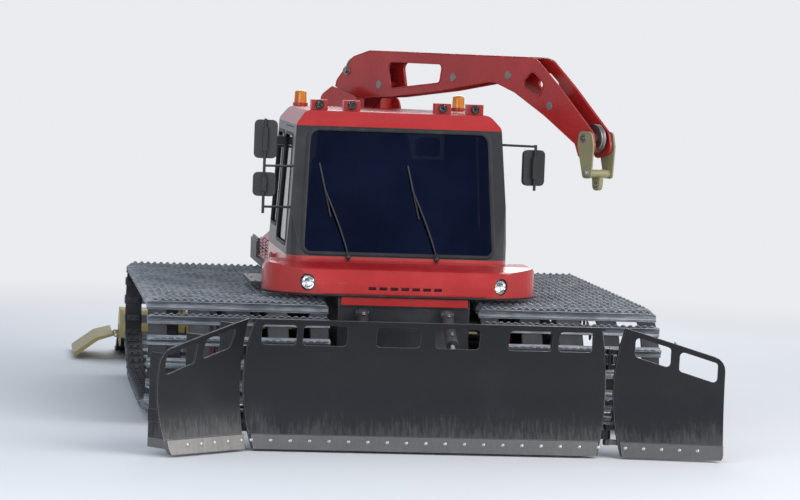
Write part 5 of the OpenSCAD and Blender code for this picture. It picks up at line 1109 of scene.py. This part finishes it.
# Hydraulic cylinders. Each barrel is a painted tube with a screwed gland, a weld at its foot, two port
# blocks and a grease nipple at its eye. Its rod is ground and plated.
joints = {row["name"]: row for row in frame["record"]["behaviour"]["joints"]}
ground_rod = Finish("plated_rod", Metallic=1.0)
fine, film = ground_rod.cloud(400.0, 2.0), (ground_rod.cloud(14.0, 4.0) - 0.5).ramp(0.0, 0.3)
ground_rod.set(Base_Color=ground_rod.blend(film * 0.5, (0.62, 0.63, 0.65), (0.34, 0.33, 0.31)),
               Roughness=0.10 + fine * 0.06 + film * 0.22, Normal=ground_rod.bump(fine, 0.00004))
lift_size, small_size = (0.048, 0.026, 0.056, 0.039), (0.038, 0.020, 0.052, 0.035)
# Rows: joint of the barrel, shifts across the machine, the radius of barrel and rod with the distance of
# the barrel's foot and of its eye's end from the pivot, the barrel's length, and where its ports look
rams = [("blade_lift", (-0.35, 0.35), lift_size, 0.420, (0, -0.5, 0.86)),
        ("swing_left", (0,), small_size, 0.480, (0, 0, 1)), ("swing_right", (0,), small_size, 0.480, (0, 0, 1)),
        ("blade_tilt", (0,), small_size, 0.225, (-0.92, 0, -0.38)),
        ("wing_left", (0,), small_size, 0.560, (0, 0, 1)), ("wing_right", (0,), small_size, 0.560, (0, 0, 1)),
        ("tiller_lift", (-0.215, 0.215), lift_size, 0.350, (0, 0.28, 0.96))]
port_h = 0.017
port = plate(oblong(0.014, 0.016, 0.004, 3), port_h, 0.002)
plug = hex_bolt(0.019, 0.7)
nipple = turned([(0.0001, 0), (0.0045, 0), (0.0045, 0.005), (0.0025, 0.007), (0.0036, 0.010), (0.0022, 0.013),
                 (0.0001, 0.0135)], 12)
for name, shifts, (r, rod, foot, eye_end), end, look in rams:
    pivot, slide = joints[f"{name}_barrel_pivot"], joints[f"{name}_rod_slide"]
    go_out = np.array(slide["axis"], float)
    go_out /= np.linalg.norm(go_out)
    look = np.array(look, float) - np.dot(look, go_out) * go_out
    look /= np.linalg.norm(look)
    gland = turned([(r - 0.001, end - 0.052), (r + 0.0035, end - 0.050), (r + 0.0035, end - 0.012),
                    (r + 0.001, end - 0.008), (r + 0.001, end + 0.0005), (rod + 0.002, end + 0.0015),
                    (rod + 0.0015, end - 0.001)], 36)
    foot_weld = turned([(r - 0.001, foot - 0.001), (r + 0.003, foot + 0.002), (r + 0.0036, foot + 0.006),
                        (r + 0.002, foot + 0.010), (r - 0.001, foot + 0.012)], 36)
    steel_parts, black_parts = [], []
    for shift in shifts:
        start = np.array(pivot["pos_m"], float) + [shift, 0, 0]
        black_parts += [placed(form, [start], go_out, look) for form in (gland, foot_weld)]
        for at in (foot + 0.036, end - 0.072):
            spot = start + go_out * at + look * (r - 0.006)
            black_parts.append(placed(port, [spot], look, go_out))
            steel_parts.append(placed(plug, [spot + look * port_h], look, go_out))
        steel_parts.append(placed(nipple, [start - go_out * eye_end], -go_out, look))
    body = pivot["child"]
    fitted(f"{body}_glands", body, black_paint, black_parts)
    fitted(f"{body}_ports", body, zinc, steel_parts)
    coat(body, black_paint)
    coat(slide["child"], ground_rod.material)

# Push frame and swing head. Black welded plate. The kingpin's cap is bolted on and has a nipple.
coat("push_frame", "swing_head", black_paint)
kingpin = np.array([0.0, -3.17, 0.618])
cap_bolts = kingpin + points_at(*circle_of(6, 0.047).T, 0)
fitted("kingpin_bolts", "swing_head", zinc,
       [placed(hex_bolt(0.015), cap_bolts, (0, 0, 1), (1, 0, 0)), placed(nipple, [kingpin], (0, 0, 1), (1, 0, 0))])

# Blade and wings. Rolled plate in black, scoured bright low down by ice, with a bolted cutting edge of
# hard steel below and a tube along the top. The wings hang on pins with a keeper at each end.
mouldboard = Finish("scoured_black_blade", Specular_IOR_Level=0.3, Coat_Roughness=0.25)
z = mouldboard.along("Z")
large, fine = mouldboard.cloud(2.2, 4.0), mouldboard.cloud(45.0, 4.0, rough=0.7)
streak = mouldboard.cloud(5.0, 5.0, mouldboard.spread(9.0, 3.0, 1.1), 0.65)
normal, edge = mouldboard.edge(0.006)
scour = ((0.42 - z).ramp(0.0, 0.42) * 0.9 + (streak - 0.5) * 1.5 + (large - 0.5) * 0.8 - 0.25).ramp(0.0, 0.7)
hard = (z < 0.129) * (0.55 + streak * 0.6)
rubbed = (edge * 1.5 + (fine - 0.5) * 1.4 - 0.4).ramp(0.0, 0.5)
frost = large.ramp(0.5, 0.85) * 0.5 + fine.ramp(0.55, 0.85) * 0.3
frost = frost * (1.0 - z.ramp(0.3, 1) * 0.5)
tone = mouldboard.blend(frost * 0.2, (0.010, 0.011, 0.014), (0.13, 0.135, 0.145))
tone = mouldboard.blend(scour * 0.4, tone, (0.17, 0.17, 0.175))
tone = mouldboard.blend(hard.smaller(1.0), tone, (0.20, 0.195, 0.19))
tone = mouldboard.blend(rubbed, tone, (0.26, 0.255, 0.25))
mouldboard.set(Base_Color=tone, Metallic=(scour * 0.5 + hard * 0.6 + rubbed * 0.7).smaller(0.9),
               Roughness=0.36 + frost * 0.25 - scour * 0.06 + (fine - 0.5) * 0.1, Coat_Weight=(1.0 - scour) * 0.1,
               Normal=mouldboard.bump(fine * 0.7 + streak * 0.8 - rubbed, 0.0004, normal))
coat("blade", "wing_left", "wing_right", mouldboard.material)
blade_y, blade_half, wing_len, blade_top, blade_mid = -3.560, 1.450, 0.900, 1.018, 0.518
hollow_r, blade_thick = 0.900, 0.016
hollow_y, rear_r = blade_y - hollow_r, hollow_r + blade_thick
wing_axis = np.array([blade_half, blade_y + blade_thick + 0.044])
wing_turns = {1: math.radians(8), -1: math.radians(40)}


def behind_blade(z, off=0.0):
    """Y of the plate's rear face at the height z, or off behind it: a circle round the middle of the hollow."""
    return hollow_y + np.sqrt((rear_r + off) ** 2 - (np.asarray(z) - blade_mid) ** 2)


def on_wing(side, points):
    """Points of the unfolded left wing, turned about its hinge by its angle at rest, and mirrored for the right."""
    a = -wing_turns[side]
    p = np.array(points, float)
    turn = np.array([[math.cos(a), -math.sin(a)], [math.sin(a), math.cos(a)]])
    p[:, :2] = (p[:, :2] - wing_axis) @ turn.T + wing_axis
    return p * [side, 1, 1]


bolt_dome = turned([(0.0001, -0.001), (0.0145, -0.001), (0.0145, 0.0015), (0.011, 0.0048), (0.006, 0.006),
                    (0.0001, 0.0062)], 20)
nut, keeper = hex_bolt(0.027, 0.55), turned([(0.0001, 0), (0.024, 0), (0.024, 0.005), (0.0001, 0.007)], 24)
face_y, face_z, face_out = -3.7013, 0.085, (0, -0.94, 0.342)
rear_y = float(behind_blade(face_z))
rear_out = (0, (rear_y - hollow_y) / rear_r, (face_z - blade_mid) / rear_r)
bolt_xs = np.arange(-1.35, 1.36, 0.15)
nut_xs = [x for x in bolt_xs if abs(abs(x) - 1.2) > 0.02]


def edge_bolts(xs, nut_xs):
    """The cutting edge's domed bolts in front and their nuts behind, at those distances across."""
    return [placed(bolt_dome, [(x, face_y, face_z) for x in xs], face_out),
            placed(nut, [(x, rear_y, face_z) for x in nut_xs], rear_out)]


fitted("blade_edge_bolts", "blade", zinc, edge_bolts(bolt_xs, nut_xs), 30)
rail_z = blade_top - 0.016
rail_y = float(behind_blade(rail_z, 0.008))
rail = tube([(x, rail_y, rail_z) for x in (-blade_half + 0.075, blade_half - 0.075)], 0.012, 14)
fitted("blade_top_tube", "blade", mouldboard.material, [rail], 40)
fall = 0.230 / (wing_len - 0.120)
knuckle_h, knuckle_room, keeper_h = 0.070, 0.044, 0.0068
knuckles = [(*wing_axis, z) for z in (0.130, 0.720)]
pin_tops = [p + np.array([0, 0, knuckle_h + knuckle_room]) for p in knuckles]
pin_feet = [p - np.array([0, 0, knuckle_room]) for p in knuckles]
wing_xs = np.arange(blade_half + 0.14, blade_half + wing_len - 0.08, 0.14)
wing_bolts = [*edge_bolts(wing_xs, wing_xs), placed(keeper, pin_tops, (0, 0, 1), (1, 0, 0)),
              placed(keeper, pin_feet, (0, 0, -1), (1, 0, 0)),
              placed(hex_bolt(0.016), [p + [0, 0, keeper_h] for p in pin_tops], (0, 0, 1), (1, 0, 0))]
xs = np.linspace(blade_half + 0.135, blade_half + wing_len - 0.075, 12)
zs = rail_z - (xs - blade_half - 0.120) * fall
wing_rail = tube(points_at(xs, behind_blade(zs, 0.008), zs), 0.011, 12)
for side, name in ((1, "left"), (-1, "right")):
    for piece, slot, finish, parts in (("bolts", "steel", zinc, wing_bolts),
                                       ("top_tube", "black_steel", mouldboard.material, [wing_rail])):
        fitted(f"wing_{name}_{piece}", f"wing_{name}", finish, [(on_wing(side, p), f) for p, f in parts],
               30 if piece == "bolts" else 40)

# Winch. The turntable's disc and cheeks are red plate with a ring of bolts. The drum's flanges are bare
# steel worn by the rope, and eleven millimetre wire rope is wound on it in close turns.
slew, boom_turn = np.array([0.0, 1.015, 0.0]), math.radians(31)
toward = np.array([math.sin(boom_turn), -math.cos(boom_turn), 0.0])
aside = np.array([math.cos(boom_turn), math.sin(boom_turn), 0.0])


def on_winch(points):
    """Points given as (reach along the boom, aside, height), in the machine's frame."""
    p = np.asarray(points, float)
    return slew + p[..., 0:1] * toward + p[..., 1:2] * aside + p[..., 2:3] * [0, 0, 1]


def across_winch(form, reach, z, sides=(0.0,), out=1):
    """The form with its axis turned aside, at each of the distances aside."""
    return placed(form, [on_winch([reach, s, z]) for s in sides], aside * out)


winch_red = painted("winch_red", (0.40, 0.017, 0.016), worn=(0.20, 0.17, 0.16), gloss=0.28, wear=1.0, dust=0.13)
coat("turntable", "boom", winch_red)
drum_steel = cast("drum_steel", (0.30, 0.29, 0.28), 0.42, 90.0, 0.0003)
coat("drum", "top_sheave", "head_sheave", drum_steel)
drum_z, drum_reach, drum_half, core_r, rope_r, turns = 1.882, -0.030, 0.181, 0.2405, 0.0055, 33
flange_face, disc_top, bearing_end, bearing_face, motor_end = 0.1985, 1.502, 0.244, 0.2815, -0.352
wind = np.linspace(-drum_half, drum_half, turns * 8 + 1)
wound = 0.2985 + rope_r * np.abs(np.cos((wind + drum_half) / (2 * drum_half) * turns * np.pi)) ** 0.6
wound = np.where(np.abs(wind) > drum_half - 0.0005, 0.286, wound)
profile = [(core_r, -drum_half), *points_at(wound, wind), (core_r, drum_half)]
wire = Finish("greased_wire_rope", Metallic=0.85)
x, y, z = (wire.along(a) for a in "XYZ")
lay = ((x * float(aside[0]) + y * float(aside[1])) * 560.0 + z * 900.0).wave() * 0.5 + 0.5
grease = wire.cloud(12.0, 4.0)
# Strands light on their crests and darker in the grooves between them, following the relief: the dark is painted shade
strands_and_painted_groove_shade = wire.blend(lay, (0.10, 0.10, 0.105), (0.33, 0.33, 0.34))
wire.set(Base_Color=wire.blend(grease.ramp(0.4, 0.75), strands_and_painted_groove_shade, (0.05, 0.043, 0.035)),
         Roughness=0.38 + grease * 0.25, Normal=wire.bump(lay, 0.0008))
fitted("drum_rope", "drum", wire.material, [across_winch(turned(profile, 96), drum_reach, drum_z)], 75)
u, v = circle_of(10, 0.200).T
flange_bolts = [placed(hex_bolt(0.018, 0.5), on_winch(points_at(drum_reach + u, out * flange_face, drum_z + v)),
                       aside * out) for out in (-1, 1)]
fitted("drum_bolts", "drum", zinc, flange_bolts)
# The turntable's bolts, left out where the cheeks stand
ring = points_at(*circle_of(24, 0.485, 0.07).T, disc_top)
ring = on_winch(ring[np.abs(np.abs(ring[:, 1]) - 0.235) > 0.035])
# The bearing's cover and the motor's, each with its bolts, and the motor's two plugged ports
winch_parts = [placed(hex_bolt(0.026), ring, (0, 0, 1), (1, 0, 0))]
for size, end, out, places in ((0.017, bearing_end, 1, circle_of(8, 0.080, 0.2)),
                               (0.020, motor_end, -1, circle_of(6, 0.088, 0.3))):
    winch_parts += [across_winch(hex_bolt(size), drum_reach + u, drum_z + v, (end,), out) for u, v in places]
fitted("winch_bolts", "winch", zinc, winch_parts)
bearing_cover = turned([(0.0001, 0.0), (0.060, 0.0), (0.060, 0.006), (0.052, 0.010), (0.0001, 0.012)], 36)
motor_cover = turned([(0.0001, 0.0), (0.070, 0.0), (0.070, 0.008), (0.058, 0.014), (0.030, 0.018), (0.0001, 0.018)], 36)
motor_parts = [across_winch(motor_cover, drum_reach, drum_z, (motor_end,), -1),
               across_winch(bearing_cover, drum_reach, drum_z, (bearing_face,))]
for s in (-0.275, -0.325):
    for form, up in ((port, 0.106), (plug, 0.106 + port_h)):
        motor_parts.append(placed(form, [on_winch([drum_reach, s, drum_z + up])], (0, 0, 1), aside))
fitted("winch_motor_fittings", "winch", black_paint, motor_parts)

# Boom. Two cut plates with tubes between them. Each plate's rim is rounded by a weld, the openings have
# a rolled lip, and the sheaves' pins are held by a washer and a nut on both sides.
boom_top, boom_side, plate_face = 3.070, 0.095, 0.0952
# Rows: reach, depth below the top and corner's radius in millimetres, for the plate and for its openings
boom_rows = [[-415, -420, 20], [-420, -560, 60], [-120, -560, 40], [60, -420, 60], [420, -400, 60], [1150, -320, 300],
             [1850, -215, 300], [2150, -300, 160], [2550, -480, 200], [2960, -700, 30], [3020, -820, 40],
             [3220, -760, 60], [3180, -600, 60], [2720, -230, 160], [2430, -20, 120], [2330, 0, 60], [100, 0, 140],
             [-140, -60, 60], [-380, -280, 60]]
boom_holes = [[[420, -330, 40], [1120, -255, 40], [1150, -90, 40], [360, -90, 60]],
              [[2210, -230, 40], [2490, -330, 40], [2530, -210, 40], [2380, -110, 60]]]
beads = []
for rows, bead_r in ((boom_rows, 0.0042), *((hole, 0.0055) for hole in boom_holes)):
    outline = rounded(np.array(rows) / 1000, 6)
    outline = outline[np.linalg.norm(np.roll(outline, -1, 0) - outline, axis=1) > 1e-5]
    for s in (-plate_face, plate_face):
        path = on_winch(points_at(outline[:, 0], s, boom_top + outline[:, 1]))
        beads.append(tube(path, bead_r, 8, closed=True))
fitted("boom_rims", "winch", winch_red, beads, 60)
washer = turned([(0.0001, 0.0), (0.044, 0.0), (0.044, 0.005), (0.0001, 0.005)], 30)
collar = turned([(0.0205, 0.0), (0.036, 0.0), (0.036, 0.003), (0.0205, 0.003)], 30)
pin_end = turned([(0.0001, 0.0), (0.012, 0.0), (0.010, 0.003), (0.0001, 0.003)], 20)
tie_end = turned([(0.0001, 0.0), (0.039, 0.0), (0.037, 0.003), (0.030, 0.0035), (0.0001, 0.0035)], 30)
head_reach, tie_places = 3.095, ((-0.300, 0.480), (0.250, 0.300), (1.300, 0.200), (2.050, 0.160), (2.610, 0.400))
# Rows: reach, depth below the top, distance aside, form
fixings = [(-0.230, 0.190, boom_side, washer), (-0.230, 0.190, boom_side + 0.005, hex_bolt(0.058, 0.4)),
           (head_reach, 0.650, 0.124, collar), (head_reach, 0.650, 0.127, pin_end),
           *((reach, drop, boom_side, tie_end) for reach, drop in tie_places)]
pins = [across_winch(form, reach, boom_top - drop, (out * s,), out)
        for reach, drop, s, form in fixings for out in (-1, 1)]
fitted("boom_pins", "winch", drum_steel, pins)

# Rope head. Two olive plates that swing on the head sheave's pin, with a crossbar and a block bored for
# the hook. Its edges are rubbed to the steel by the rope.
coat("rope_head", painted("olive_paint", (0.245, 0.225, 0.105), worn=(0.30, 0.29, 0.27), gloss=0.4, wear=1.2, dust=0.3))
hang_reach, crossbar_z, hook_z = head_reach + 0.060, 2.130, 2.035
bush = turned([(0.0182, -0.0208), (0.0265, -0.0212), (0.0265, 0.0212), (0.0182, 0.0208)], 32, closed=True)
fitted("hook_bush", "rope_head", drum_steel, [across_winch(bush, hang_reach, hook_z)])
nuts = [across_winch(hex_bolt(0.050, 0.4), hang_reach, crossbar_z, (out * 0.124,), out) for out in (-1, 1)]
fitted("crossbar_nuts", "rope_head", zinc, nuts)

# Tiller. A black frame carries a hood of bent sheet over the rotor. The hood and the side flaps are
# painted a khaki yellow, scuffed by ice, and bolts and a clamp bar hold the finishing comb behind it.
khaki = painted("khaki_paint", (0.33, 0.245, 0.045), worn=(0.24, 0.22, 0.18), gloss=0.42, wear=1.1, dust=0.35)
coat("hood", "flap_left", "flap_right", khaki)
coat("tiller_frame", black_paint)
coat("rotor", cast("rotor_steel", (0.16, 0.155, 0.15), 0.5))
comb_plastic = Finish("comb_plastic", Specular_IOR_Level=0.45)
fine, large = comb_plastic.cloud(50.0, 4.0), comb_plastic.cloud(3.0, 4.0)
drag = comb_plastic.cloud(30.0, 4.0, comb_plastic.spread(3.0, 0.4, 1.0))
rubbed = drag.ramp(0.45, 0.8) * 0.5 + large.ramp(0.5, 0.8) * 0.2
comb_plastic.set(Base_Color=comb_plastic.blend(rubbed, (0.016, 0.017, 0.019), (0.10, 0.10, 0.105)),
                 Roughness=0.42 + fine * 0.2, Normal=comb_plastic.bump(drag + fine * 0.4, 0.0004))
coat("comb", comb_plastic.material)
tiller_half, rotor_y, rotor_z, rotor_r = 2.100, 3.330, 0.262, 0.200
hood_out = rotor_r + 0.024 + 0.014
comb_y = rotor_y + hood_out + 0.0003
clamp_z = rotor_z - 0.014
clamp_section = np.array([(0.0005, -0.036), (0.0005, 0.004), (0.0, 0.006), (0.020, 0.006), (0.024, 0.002),
                          (0.024, -0.030), (0.020, -0.036)]) + [comb_y, clamp_z]
clamp = skin(np.stack([points_at(x, *clamp_section.T) for x in (-tiller_half + 0.02, tiller_half - 0.02)]))
fitted("comb_clamp", "tiller", black_paint, [clamp])
clamp_bolts = [(x, comb_y + 0.024, clamp_z - 0.014) for x in np.arange(-2.03, 2.04, 0.145)]
# Rows of the place and the outward direction: round the hood over the frame's four arms, and on its ends
hood_bolts, end_bolts = [], []
for x in (-1.5, -0.7, 0.7, 1.5):
    for back in (-0.075, 0.035):
        out = np.array([0.0, back, math.sqrt(hood_out ** 2 - back ** 2)])
        hood_bolts += [(out + [x + s, rotor_y, rotor_z], out) for s in (-0.024, 0.024)]
for side in (-1, 1):
    end_bolts += [((side * tiller_half, rotor_y + u, rotor_z + v), (side, 0, 0)) for u, v in circle_of(6, 0.062, 0.2)]
fitted("tiller_bolts", "tiller", zinc,
       [placed(hex_bolt(0.018), clamp_bolts, (0, 1, 0)), placed(hex_bolt(0.018), *zip(*hood_bolts), (1, 0, 0)),
        placed(hex_bolt(0.014), *zip(*end_bolts))])
# Pressed ribs on the hood, each a low bead bent over it. Rows: first and last distance across, and pitch
rib_rows = [(-1.95, -1.6, 0.16), (-1.35, -0.8, 0.18), (-0.50, 0.51, 0.20), (0.81, 1.36, 0.18), (1.63, 1.96, 0.16)]
arc = np.linspace(math.radians(22), math.radians(168), 30)
bend = (hood_out + 0.0005) * points_at(0, np.cos(arc), np.sin(arc))
bend = bend[(bend[:, 2] > 0.0) & (bend[:, 1] > 0.02 - hood_out)]
ribs = [tube(bend + [x, rotor_y, rotor_z], 0.006, 8) for row in rib_rows for x in np.arange(*row)]
fitted("hood_ribs", "tiller", khaki, ribs, 50)
# Ridges along the comb that leave the corded snow. Rows: distance behind the comb's root, and height
ridge_pitch, comb_fall = 0.070, np.array([[0.0, 0.242], [0.18, 0.190], [0.44, 0.066], [0.66, 0.036]])
behind = 0.20 + 0.42 * np.linspace(0, 1, 14)
down = np.interp(behind, *comb_fall.T) - 0.002
ridges = [tube(points_at(x, comb_y + behind, down), 0.0075, 6) for x in ridge_pitch * np.arange(-29, 30)]
fitted("comb_ridges", "tiller", comb_plastic.material, ridges, 60)
pin_clip = turned([(0.0001, 0.0), (0.0165, 0.0), (0.0165, 0.004), (0.010, 0.007), (0.0001, 0.0075)], 20)
clips = [placed(pin_clip, [(side * (tiller_half + 0.030), rotor_y + lug_y + off, rotor_z - 0.020)], (0, out, 0))
         for side in (-1, 1) for lug_y in (-0.150, 0.130) for off, out in ((-0.0265, -1), (0.0865, 1))]
fitted("flap_pin_clips", "tiller", zinc, clips)
